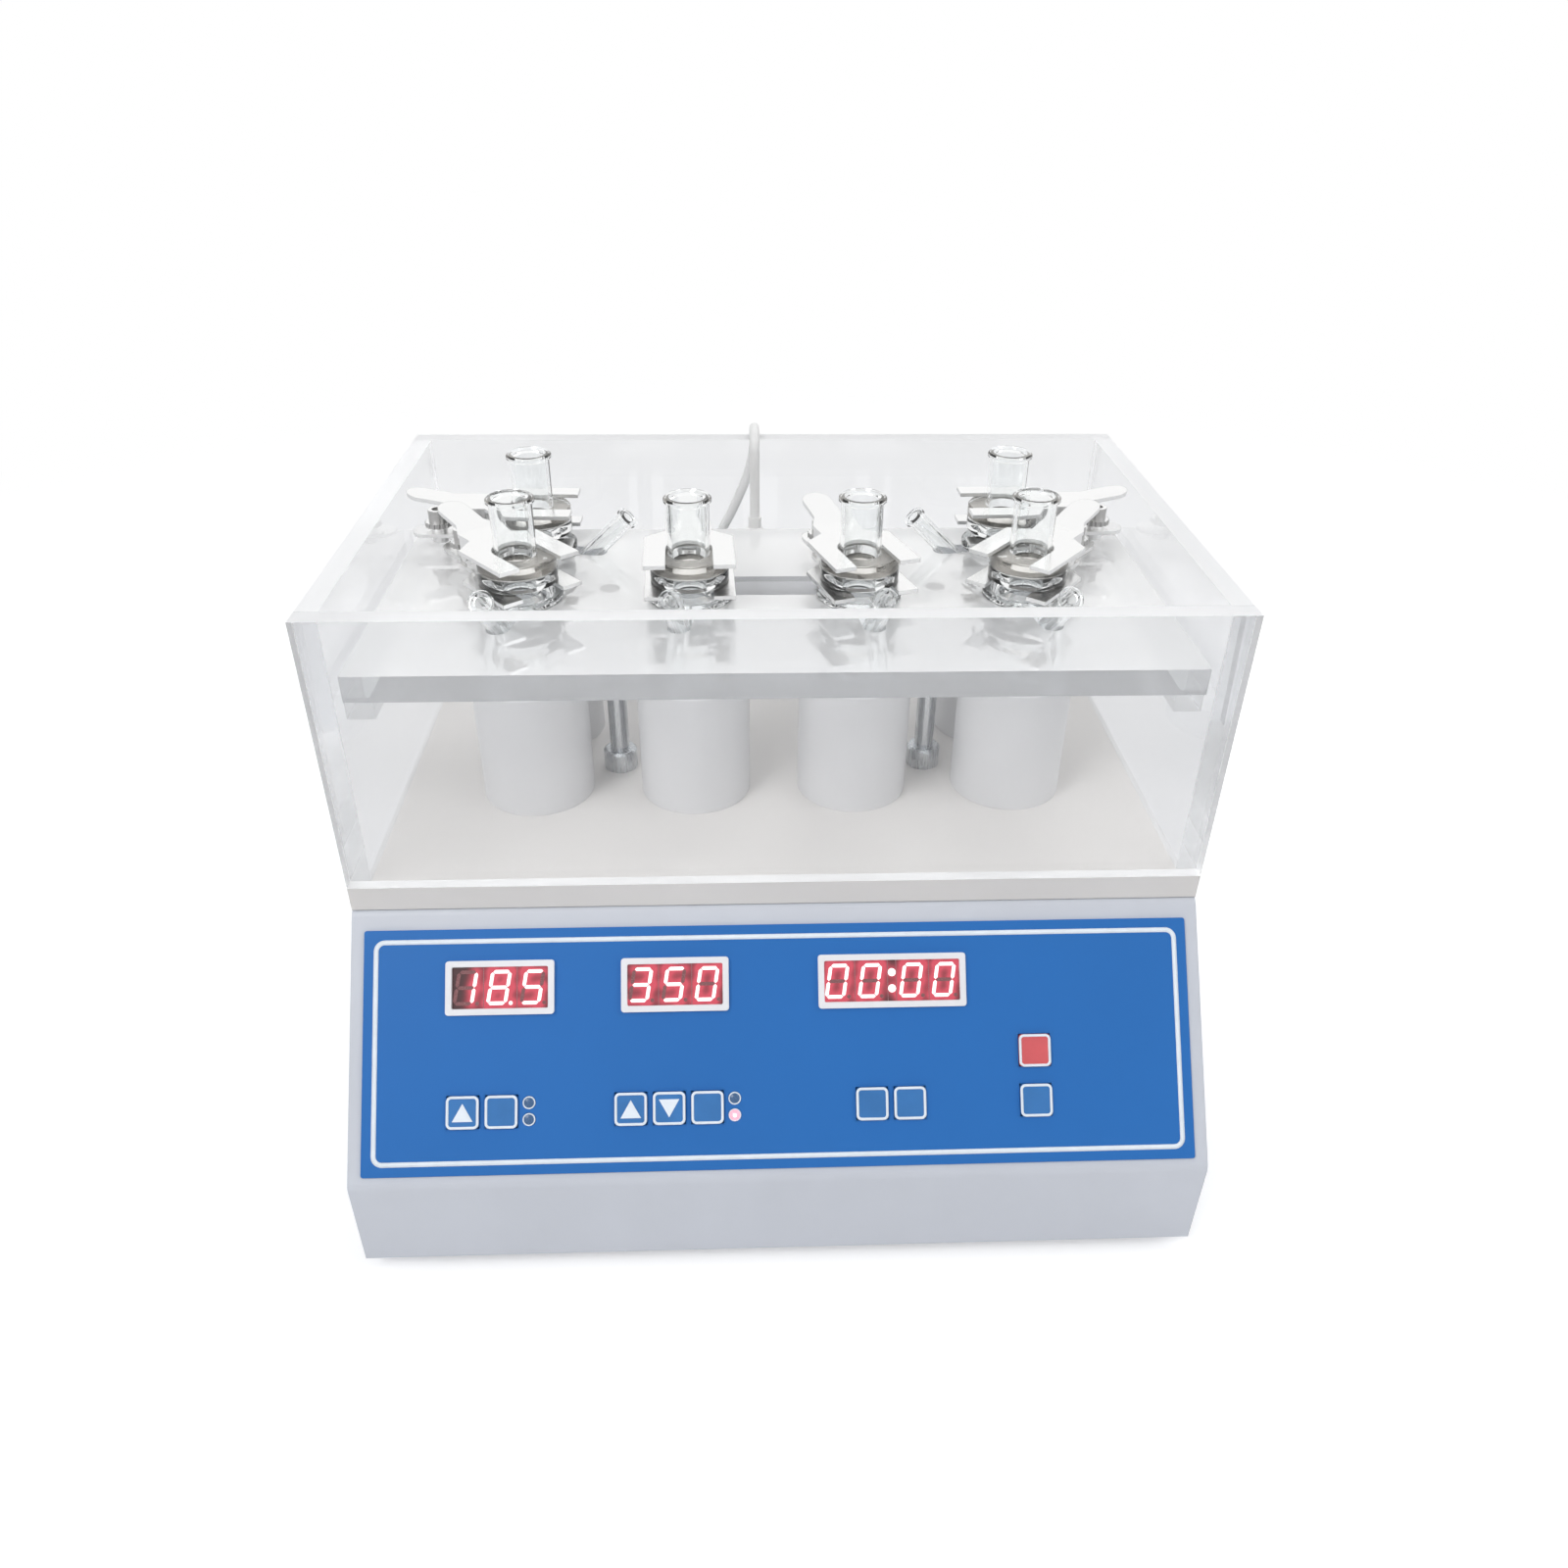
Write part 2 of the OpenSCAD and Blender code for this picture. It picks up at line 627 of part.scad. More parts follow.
module stirrer_motors() color("silver") for (i = [0:5]) at_cell(i) {
  deck_under = deck_z - sheet_t - plate_z;
  difference() {
    union() {
      translate([0, 0, deck_under - motor_under])
        cylinder(d = motor_d, h = motor_top - deck_under + motor_under);
      translate([0, 0, motor_top]) cylinder(r = motor_boss_r, h = motor_boss_h);
      translate([0, 0, deck_under - motor_flange_t])
        cylinder(r = motor_d / 2 + motor_flange_out, h = motor_flange_t);
    }
    translate([0, 0, shaft_foot - over])
      cylinder(r = shaft_r + shaft_fit, h = boss_top - shaft_foot + 2 * over);
  }
}

module tank_floor() color("linen") difference() {
  translate([-case_w / 2, tank_y, deck_z]) cube([case_w, tank_d, floor_t]);
  deck_bores(deck_z - over, floor_t + 2 * over);
}

// Glued walls of the tank, with the two ledges that carry the plate's ends
module tank_walls() color("lightcyan", 0.4) {
  side_d = tank_d - 2 * wall_t - 2 * glue_t;
  ledge_x = case_w / 2 - wall_t - glue_t - ledge_s / 2;
  for (y = [tank_y, tank_y + tank_d - wall_t])
    translate([-case_w / 2, y, floor_z]) cube([case_w, wall_t, wall_h]);
  for (x = [-case_w / 2, case_w / 2 - wall_t])
    translate([x, tank_y + wall_t + glue_t, floor_z]) cube([wall_t, side_d, wall_h]);
  for (s = [-1, 1]) translate([s * ledge_x - ledge_s / 2, plate_y + ledge_in, plate_under - ledge_s])
    cube([ledge_s, plate_d - 2 * ledge_in, ledge_s]);
}

// Two steel posts with round feet under the plate
module plate_supports() color("lightgray") {
  post_l = plate_under - floor_z;
  foot_r = post_foot_d / 2;
  for (s = [-1, 1]) translate([s * cell_pitch, row_y + post_row, floor_z]) rotate_extrude()
    polygon([[0, 0], [foot_r, 0], [foot_r, post_foot_h - 1], [foot_r - 1, post_foot_h],
      [post_d / 2, post_foot_h], [post_d / 2, post_l], [0, post_l]]);
}

// Closed dry wells that keep the bath's water off the motors
module stirrer_towers() color("white") for (i = [0:5]) at_cell(i) {
  foot = floor_z - plate_z;
  in_r = tower_d / 2 - tower_wall;
  edge = 1;
  rotate_extrude() polygon([[in_r, foot], [tower_d / 2, foot], [tower_d / 2, tower_top - edge],
    [tower_d / 2 - edge, tower_top], [0, tower_top], [0, tower_top - tower_cap],
    [in_r, tower_top - tower_cap]]);
}

// Hairpin along the back wall whose ends turn down through gland nuts in the floor
module heater_tube() color("silver") {
  z = floor_z + heater_rise;
  tube_r = heater_d / 2;
  for (s = [0, 1]) translate([heater_x, heater_y - s * heater_gap, z]) {
    rotate([0, 90, 0]) cylinder(r = tube_r, h = heater_l);
    translate([0, 0, -heater_bend]) rotate([90, 0, 0]) rotate([0, 0, 90])
      rotate_extrude(angle = 90) translate([heater_bend, 0]) circle(tube_r);
    translate([-heater_bend, 0, -heater_rise - floor_t - heater_tail])
      cylinder(r = tube_r, h = heater_rise + floor_t + heater_tail - heater_bend);
  }
  translate([heater_x + heater_l, heater_y - heater_gap / 2, z]) rotate([0, 0, -90])
    rotate_extrude(angle = 180) translate([heater_gap / 2, 0]) circle(tube_r);
  for (s = [0, 1]) translate([heater_x - heater_bend, heater_y - s * heater_gap, floor_z]) difference() {
    cylinder(r = heater_nut_r, h = heater_nut_h, $fn = 6);
    translate([0, 0, -over]) cylinder(r = tube_r + 0.02, h = heater_nut_h + 2 * over);
  }
}

// Sensor ball with a short sleeve for its lead
module probe_ball() difference() {
  rotate_extrude() intersection() {
    union() {
      translate([0, -probe_ball_d / 3]) circle(probe_ball_d / 2);
      translate([0, -probe_ball_d / 3])
        square([lead_d / 2 + probe_sleeve_t, probe_ball_d / 3 + probe_sleeve_l]);
    }
    translate([0, -2 * probe_ball_d]) square([probe_ball_d, 4 * probe_ball_d]);
  }
  cylinder(d = lead_d + 0.04, h = probe_sleeve_l + over);
}

// Rings of a tube swept along a route, each square to its own bend
module swept_tube(route, d, sides) {
  last = len(route) - 1;
  dirs = [for (i = [0:last]) unit(route[min(i + 1, last)] - route[max(i - 1, 0)])];
  rings = [for (i = [0:last])
    let (u = unit(cross([1, 0, 0], dirs[i])), v = cross(dirs[i], u))
    for (k = [0:sides - 1]) route[i] + d / 2 * (u * cos(360 * k / sides) + v * sin(360 * k / sides))];
  quads = [for (i = [0:last - 1], k = [0:sides - 1])
    [i * sides + k, (i + 1) * sides + k, (i + 1) * sides + (k + 1) % sides, i * sides + (k + 1) % sides]];
  tris = [for (q = quads) each [[q[0], q[1], q[2]], [q[0], q[2], q[3]]]];
  caps = [[for (k = [0:sides - 1]) k], [for (k = [0:sides - 1]) last * sides + sides - 1 - k]];
  polyhedron(rings, concat(tris, caps));
}

module probe_lead() color("white") swept_tube(lead_route, lead_d, lead_sides);

// Gland that takes the lead through the deck
module lead_gland() difference() {
  union() {
    cylinder(r = gland_r, h = gland_nut_h, $fn = 6);
    translate([0, 0, gland_nut_h]) cylinder(r = gland_r - 1, h = gland_h - gland_nut_h);
  }
  translate([0, 0, -over]) cylinder(d = lead_d + 0.1, h = gland_h + 2 * over);
}

module temperature_probe() color("white") {
  translate([probe_x, probe_y, probe_z]) probe_ball();
  translate([gland_x, gland_y, deck_z]) lead_gland();
}

module holder_plate() color("lightcyan", 0.5) difference() {
  translate([-plate_w / 2, plate_y, plate_under]) cube([plate_w, plate_d, plate_t]);
  for (i = [0:5]) at_cell(i) translate([0, 0, -plate_t - over]) {
    cylinder(d = body_d + 2 * glass_gap, h = plate_t + 2 * over);
    rotate(arm_turn[i]) linear_extrude(plate_t + 2 * over) {
      slot_half = arm_d / 2 + glass_gap;
      slot_end = arm_reach + slot_half * sqrt(2) - slot_half;
      translate([0, -slot_half]) square([slot_end, 2 * slot_half]);
      translate([slot_end, 0]) circle(slot_half);
    }
  }
  translate([0, row_y + slot_row, plate_under - over]) linear_extrude(plate_t + 2 * over)
    rounded_rect(slot_w, slot_d, 3);
}

// Receptor: a round cell with a resting collar, a neck, a ground flange and a slanted sampling arm
module receptor(turn) {
  out_r = body_d / 2;
  in_r = out_r - glass_t;
  mouth = (arm_reach + arm_rise) * sqrt(2);
  root = (out_r - glass_t / 2) * sqrt(2);
  difference() {
    union() {
      rotate_extrude() polygon([[0, -body_depth], [out_r - 2, -body_depth], [out_r - 0.6, -body_depth + 0.6],
        [out_r, -body_depth + 2], [out_r, 0], [collar_d / 2 - 0.5, 0], [collar_d / 2, 0.5],
        [collar_d / 2, collar_t - 0.8], [collar_d / 2 - 0.8, collar_t], [neck_d / 2, collar_t],
        [neck_d / 2, low_flange_z], [flange_d / 2 - 0.5, low_flange_z], [flange_d / 2, low_flange_z + 0.5],
        [flange_d / 2, membrane_z], [0, membrane_z]]);
      rotate(turn) translate([0, 0, -arm_reach]) rotate([0, 45, 0]) {
        translate([0, 0, root]) cylinder(d = arm_d, h = mouth - root);
        translate([0, 0, mouth - 1.6]) cylinder(d = arm_d + 1.6, h = 1.6);
      }
    }
    rotate_extrude() polygon([[0, -body_depth + glass_t], [in_r - 1, -body_depth + glass_t],
      [in_r, -body_depth + glass_t + 1], [in_r, -3], [orifice_d / 2, 0.5],
      [orifice_d / 2, membrane_z + over], [0, membrane_z + over]]);
    rotate(turn) translate([0, 0, -arm_reach]) rotate([0, 45, 0]) translate([0, 0, (in_r - 2) * sqrt(2)])
      cylinder(d = arm_bore, h = mouth);
  }
}

module receptor_chambers() color("aliceblue", 0.5) for (i = [0:5]) at_cell(i) receptor(arm_turn[i]);

module donor_chambers() color("aliceblue", 0.5) for (i = [0:5]) at_cell(i) {
  bead = 1;
  top = donor_z + donor_l;
  rotate_extrude() polygon([[orifice_d / 2, high_flange_z], [flange_d / 2, high_flange_z],
    [flange_d / 2, donor_z - 0.5], [flange_d / 2 - 0.5, donor_z], [donor_d / 2, donor_z],
    [donor_d / 2, top - 2.4], [donor_d / 2 + bead, top - 1.6], [donor_d / 2 + bead, top - 0.6],
    [donor_d / 2 + 0.3, top], [orifice_d / 2 + 0.4, top], [orifice_d / 2, top - 0.6]]);
}

module membranes() color("antiquewhite") for (i = [0:5]) at_cell(i)
  translate([0, 0, membrane_z]) cylinder(d = flange_d - 1, h = membrane_t);

// Outline of a jaw: an open fork, a waist that carries the ears and a round-ended handle
module jaw_outline(slot_half) difference() {
  shoulder = hinge_x - ear_r - 6;
  tail = hinge_x + ear_r + 1;
  union() {
    polygon([for (s = [-1, 1]) each let (side = [[-fork_l, fork_w / 2], [shoulder, fork_w / 2],
      [hinge_x - ear_r, ear_half], [tail, ear_half], [tail + 6, handle_w / 2],
      [handle_l - handle_w / 2, handle_w / 2]]) [for (j = [0:5])
        let (p = side[s < 0 ? j : 5 - j]) [p.x, -s * p.y]]]);
    translate([handle_l - handle_w / 2, 0]) circle(handle_w / 2);
  }
  circle(slot_half);
  translate([-fork_l - over, -slot_half]) square([fork_l + over, 2 * slot_half]);
}

// One ear between two heights, with its eye for the pin
module ear(y, z0, z1, eye_r) {
  translate([hinge_x, y, pin_z]) rotate([90, 0, 0]) difference() {
    union() {
      cylinder(r = ear_r, h = jaw_t);
      translate([-ear_r, z0 - pin_z, 0]) cube([2 * ear_r, z1 - z0, jaw_t]);
    }
    translate([0, 0, -over]) cylinder(r = eye_r, h = jaw_t + 2 * over);
  }
}

// Fixed half of a clamp: lower jaw, hinge pin with riveted ends and the locking stud
module clamp_frames() color("silver") for (i = [0:5]) at_cell(i) rotate(handle_turn[i]) {
  inner_half = ear_half - jaw_t - clamp_gap;
  pin_half = ear_half + clamp_gap;
  seat = 0.02;
  difference() {
    union() {
      translate([0, 0, low_jaw_z]) linear_extrude(jaw_t) jaw_outline(neck_d / 2 + fork_gap);
      ear(inner_half, low_flange_z - jaw_t / 2, pin_z, pin_r + seat);
      ear(jaw_t - inner_half, low_flange_z - jaw_t / 2, pin_z, pin_r + seat);
    }
    translate([stud_x, 0, low_jaw_z - over]) cylinder(r = stud_r + seat, h = jaw_t + 2 * over);
  }
  translate([hinge_x, 0, pin_z]) rotate([90, 0, 0]) {
    cylinder(r = pin_r, h = 2 * pin_half + 0.2, center = true);
    for (s = [-1, 1]) translate([0, 0, s * (pin_half + 0.5)]) cylinder(r = 1.6 * pin_r, h = 1, center = true);
  }
  translate([stud_x, 0, 0]) {
    translate([0, 0, low_jaw_z - stud_head_h]) {
      cylinder(r = 1.6 * stud_r, h = stud_head_h);
      cylinder(r = stud_r, h = stud_top - low_jaw_z + stud_head_h);
    }
    translate([0, 0, low_flange_z]) cylinder(r = 1.65 * stud_r, h = stud_boss_h);
  }
}

// Side view of the upper jaw: flat over the glass, with a handle that rises behind the hinge
module upper_jaw_profile() {
  bend_x = hinge_x + ear_r + 1;
  tip_x = handle_l + over;
  lift = (tip_x - bend_x) * tan(handle_rise);
  polygon([[-fork_l - over, 0], [bend_x, 0], [tip_x, lift], [tip_x, lift + jaw_t / cos(handle_rise)],
    [bend_x - jaw_t * tan(handle_rise / 2), jaw_t], [-fork_l - over, jaw_t]]);
}

module upper_jaw(i) color("silver") at_cell(i) rotate(handle_turn[i]) union() {
  translate([0, 0, high_jaw_z]) intersection() {
    translate([0, 0, -over]) linear_extrude(handle_l) jaw_outline(neck_d / 2 + fork_gap);
    rotate([90, 0, 0]) linear_extrude(fork_w + 2 * over, center = true) upper_jaw_profile();
  }
  ear(ear_half, pin_z, high_jaw_z + jaw_t / 2, pin_r + shaft_fit);
  ear(jaw_t - ear_half, pin_z, high_jaw_z + jaw_t / 2, pin_r + shaft_fit);
}

// Lock nut: a smooth bored sleeve on a knurled flange
module knurled_nut() difference() {
  flutes = 16;
  union() {
    cylinder(d = nut_flange_d, h = nut_flange_t);
    cylinder(d = nut_d, h = nut_h);
  }
  translate([0, 0, -over]) cylinder(r = stud_r + shaft_fit, h = nut_h + 2 * over);
  for (k = [0:flutes - 1]) rotate(360 * k / flutes) translate([nut_flange_d / 2 + 0.25, 0, -over])
    cylinder(r = 0.75, h = nut_flange_t + 2 * over);
}

module lock_nut(i) color("silver")
  at_cell(i) rotate(handle_turn[i]) translate([stud_x, 0, nut_z]) knurled_nut();

// Disc on the motor's shaft with two magnets standing on it
module magnet_rotor(i) color("dimgray") at_cell(i) {
  magnet_r = 4;
  translate([0, 0, disc_z]) cylinder(d = rotor_d, h = rotor_t);
  translate([0, 0, shaft_foot]) cylinder(r = shaft_r, h = disc_z - shaft_foot + over);
  for (s = [-1, 1]) translate([s * (rotor_d / 2 - magnet_r - 1), 0, disc_z + rotor_t])
    cylinder(r = magnet_r, h = magnet_h);
}

// Round-ended bar that lies on the receptor's bottom
module stir_bar(i) color("white") at_cell(i) translate([0, 0, bar_z]) rotate([0, 90, 0]) {
  cylinder(d = bar_d, h = bar_l - bar_d, center = true);
  for (s = [-1, 1]) translate([0, 0, s * (bar_l - bar_d) / 2]) sphere(d = bar_d);
}

// Square key with a flange that holds it under the sheet and a stem over its switch
module panel_key(i, shade) color(shade) on_panel() on_overlay(key_xy[i]) {
  top = overlay_t + key_proud;
  shelf = -sheet_t - sheet_gap;
  flange_s = key_s + 2 * key_flange;
  translate([0, 0, shelf - over / 2]) linear_extrude(top - shelf + over / 2) rounded_rect(key_s, key_s, 1.6);
  translate([0, 0, shelf - key_flange_t]) linear_extrude(key_flange_t) square(flange_s, center = true);
  translate([0, 0, shelf - key_flange_t - key_stem_l])
    cylinder(r = key_stem_r, h = key_stem_l + key_flange_t / 2);
}

base_pan();
front_cover();
side_panels();
rear_panel();
case_screws();
feet();
control_overlay();
display_bezels();
led_displays();
indicator_leds();
control_board();
power_supply();
power_inlet();
stirrer_motors();
tank_floor();
tank_walls();
plate_supports();
stirrer_towers();
heater_tube();
temperature_probe();
probe_lead();
holder_plate();
receptor_chambers();
donor_chambers();
membranes();
clamp_frames();
panel_key(0, "slategray");  // key_temp_up
panel_key(1, "slategray");  // key_temp_set
panel_key(2, "slategray");  // key_speed_up
panel_key(3, "slategray");  // key_speed_down
panel_key(4, "slategray");  // key_speed_set
panel_key(5, "slategray");  // key_timer_set
panel_key(6, "slategray");  // key_timer_run
panel_key(7, "tomato");  // key_stop
panel_key(8, "slategray");  // key_start
power_rocker();
magnet_rotor(0);  // magnet_rotor_1
magnet_rotor(1);  // magnet_rotor_2
magnet_rotor(2);  // magnet_rotor_3
magnet_rotor(3);  // magnet_rotor_4
magnet_rotor(4);  // magnet_rotor_5
magnet_rotor(5);  // magnet_rotor_6
stir_bar(0);  // stir_bar_1
stir_bar(1);  // stir_bar_2
stir_bar(2);  // stir_bar_3
stir_bar(3);  // stir_bar_4
stir_bar(4);  // stir_bar_5
stir_bar(5);  // stir_bar_6
upper_jaw(0);  // upper_jaw_1
upper_jaw(1);  // upper_jaw_2
upper_jaw(2);  // upper_jaw_3
upper_jaw(3);  // upper_jaw_4
upper_jaw(4);  // upper_jaw_5
upper_jaw(5);  // upper_jaw_6
lock_nut(0);  // lock_nut_1
lock_nut(1);  // lock_nut_2
lock_nut(2);  // lock_nut_3
lock_nut(3);  // lock_nut_4
lock_nut(4);  // lock_nut_5
lock_nut(5);  // lock_nut_6
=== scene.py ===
import json
import math
import bmesh
import bpy
from mathutils import Matrix, Vector


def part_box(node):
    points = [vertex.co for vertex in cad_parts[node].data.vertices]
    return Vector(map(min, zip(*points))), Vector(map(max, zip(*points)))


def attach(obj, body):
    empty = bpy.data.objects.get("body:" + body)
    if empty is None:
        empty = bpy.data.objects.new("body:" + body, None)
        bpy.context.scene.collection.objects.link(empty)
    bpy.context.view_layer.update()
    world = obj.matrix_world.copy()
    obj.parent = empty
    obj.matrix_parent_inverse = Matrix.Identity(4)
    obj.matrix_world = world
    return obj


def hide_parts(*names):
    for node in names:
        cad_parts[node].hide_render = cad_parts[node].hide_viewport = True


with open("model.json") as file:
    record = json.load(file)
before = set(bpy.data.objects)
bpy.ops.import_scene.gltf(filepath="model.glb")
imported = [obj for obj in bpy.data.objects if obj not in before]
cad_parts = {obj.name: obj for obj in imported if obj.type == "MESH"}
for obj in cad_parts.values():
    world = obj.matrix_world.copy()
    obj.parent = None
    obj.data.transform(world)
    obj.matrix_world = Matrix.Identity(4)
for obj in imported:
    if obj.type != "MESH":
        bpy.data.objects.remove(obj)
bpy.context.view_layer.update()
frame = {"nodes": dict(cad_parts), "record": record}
nodes = frame["nodes"]
scene = bpy.context.scene
scene.view_settings.view_transform = "Standard"
scene.cycles.max_bounces = 28  # a ray crosses many clear walls here
scene.cycles.transmission_bounces = 28
scene.cycles.glossy_bounces = 12
mm = 0.001
cells = range(1, 7)
print("frame loaded with", len(nodes), "CAD nodes")

# the camera stands where the photograph was taken, angles in degrees
shot = {"place": (-0.01545, -0.44397, 0.41728), "yaw": 2.625, "pitch": 32.832, "roll": 0.727,
        "lens": 28.06, "sensor": 36, "nearest": 0.01}


def makeCamera():
    yaw, pitch, roll = (math.radians(shot[k]) for k in ("yaw", "pitch", "roll"))
    level = math.cos(pitch)
    ahead = Vector((math.sin(yaw) * level, math.cos(yaw) * level, -math.sin(pitch)))
    right = Vector((math.cos(yaw), -math.sin(yaw), 0))
    up = right.cross(ahead)
    across = right * math.cos(roll) + up * math.sin(roll)
    upright = up * math.cos(roll) - right * math.sin(roll)
    turn = Matrix((across, upright, -ahead)).transposed().to_4x4()
    data = bpy.data.cameras.new("photoCamera")
    data.lens = shot["lens"]
    data.sensor_width = shot["sensor"]
    data.clip_start = shot["nearest"]
    camera = bpy.data.objects.new("photoCamera", data)
    camera.matrix_world = Matrix.Translation(shot["place"]) @ turn
    scene.collection.objects.link(camera)
    scene.camera = camera


makeCamera()
print("camera placed")


# small helpers for node trees
def feed(tree, socket, value):
    # a socket gets a link, a number or a colour, whose alpha is added here
    if isinstance(value, bpy.types.NodeSocket):
        tree.links.new(value, socket)
    else:
        socket.default_value = (*value, 1) if socket.type == "RGBA" else value


def feedAll(tree, node, values):
    for name, value in values.items():
        feed(tree, node.inputs[name], value)


def addNode(tree, kind, **values):
    # an underscore stands for a space in a socket's name
    made = tree.nodes.new(kind)
    feedAll(tree, made, {name.replace("_", " "): value for name, value in values.items()})
    return made


def mathOf(tree, kind, *values, node="ShaderNodeMath"):
    made = tree.nodes.new(node)
    made.operation = kind
    for socket, value in zip(made.inputs, values):
        feed(tree, socket, value)
    return made.outputs["Value"]


def axisOf(tree, vector, axis):
    return addNode(tree, "ShaderNodeSeparateXYZ", Vector=vector).outputs[axis]


def mixOf(tree, mask, low, high, kind="RGBA"):
    # low where the mask is 0 and high where it is 1, as colours or as numbers
    mix = tree.nodes.new("ShaderNodeMix")
    mix.data_type = kind
    first, result = {"RGBA": (6, 2), "FLOAT": (2, 0)}[kind]  # where the node keeps this kind's sockets
    for place, value in ((0, mask), (first, low), (first + 1, high)):
        feed(tree, mix.inputs[place], value)
    return mix.outputs[result]


def layered(tree, first, layers, kind):
    # lays further values over the first one, each by its own mask
    last = first
    for mask, value in layers:
        last = mixOf(tree, mask, last, value, kind)
    return last


def shaderMix(tree, share, first, second):
    mix = tree.nodes.new("ShaderNodeMixShader")
    for socket, value in zip(mix.inputs, (share, first, second)):
        feed(tree, socket, value)
    return mix.outputs[0]


def rampOf(tree, factor, stops):
    # colours along a factor, their stops in rising order
    ramp = tree.nodes.new("ShaderNodeValToRGB")
    feed(tree, ramp.inputs[0], factor)
    spots = ramp.color_ramp.elements
    for spot, (place, colour) in zip((spots[0], spots[1]), (stops[0], stops[-1])):
        spot.position = place
        spot.color = (*colour, 1)
    for place, colour in stops[1:-1]:
        spots.new(place).color = (*colour, 1)
    return ramp.outputs[0]


noiseBand = (0.3, 0.7)  # a noise pattern has most of its values between these


def noiseAt(tree, where, scale, detail, stretch=None):
    if stretch:
        where = addNode(tree, "ShaderNodeMapping", Vector=where, Scale=stretch).outputs[0]
    return addNode(tree, "ShaderNodeTexNoise", Vector=where, Scale=scale, Detail=detail).outputs[0]


def rangeOf(tree, factor, low, high, band=noiseBand):
    spread = addNode(tree, "ShaderNodeMapRange", Value=factor, From_Min=band[0], From_Max=band[1],
                     To_Min=low, To_Max=high)
    return spread.outputs[0]


def shaded(colour, share):
    return tuple(min(1.0, c * share) for c in colour)


def tonedBy(tree, noise, colour, low, high):
    # a colour that drifts between two shades of itself
    return rampOf(tree, noise, list(zip(noiseBand, (shaded(colour, low), shaded(colour, high)))))


def bumpOf(tree, height, strength, depth, normal=None):
    bump = addNode(tree, "ShaderNodeBump", Height=height, Strength=strength, Distance=depth)
    if normal:
        feed(tree, bump.inputs["Normal"], normal)
    return bump.outputs[0]


worn = {"samples": 4, "turn": (0.75, 0.99)}  # how the rounded normal leaves the plain one along an edge


def edgeOf(tree, radius):
    # rounded normal for sharp CAD edges, and a mask that is 1 along them
    bevel = addNode(tree, "ShaderNodeBevel", Radius=radius)
    bevel.samples = worn["samples"]
    rounded = bevel.outputs[0]
    plain = tree.nodes.new("ShaderNodeNewGeometry").outputs["Normal"]
    turn = mathOf(tree, "DOT_PRODUCT", rounded, plain, node="ShaderNodeVectorMath")
    return rounded, rangeOf(tree, turn, 1.0, 0.0, worn["turn"])


def facing(tree, axis, low, high):
    # 1 where the face's own normal along an axis lies between low and high
    normal = tree.nodes.new("ShaderNodeNewGeometry").outputs["True Normal"]
    return mathOf(tree, "COMPARE", axisOf(tree, normal, axis), (low + high) / 2, (high - low) / 2)


def startMaterial(name):
    made = bpy.data.materials.new(name)
    made.use_nodes = True
    tree = made.node_tree
    tree.nodes.clear()
    shader = tree.nodes.new("ShaderNodeBsdfPrincipled")
    addNode(tree, "ShaderNodeOutputMaterial", Surface=shader.outputs[0])
    where = tree.nodes.new("ShaderNodeTexCoord").outputs["Object"]
    return made, tree, shader, where


def endMaterial(tree, result):
    # puts a mix in the plain shader's place
    out = next(n for n in tree.nodes if n.type == "OUTPUT_MATERIAL")
    feed(tree, out.inputs["Surface"], result)


def passLamps(tree, shader, colour):
    # lamp light goes straight through a clear solid, so what stands behind it is lit
    clear = addNode(tree, "ShaderNodeBsdfTransparent", Color=colour)
    fromLamp = tree.nodes.new("ShaderNodeLightPath").outputs["Is Shadow Ray"]
    endMaterial(tree, shaderMix(tree, fromLamp, shader.outputs[0], clear.outputs[0]))


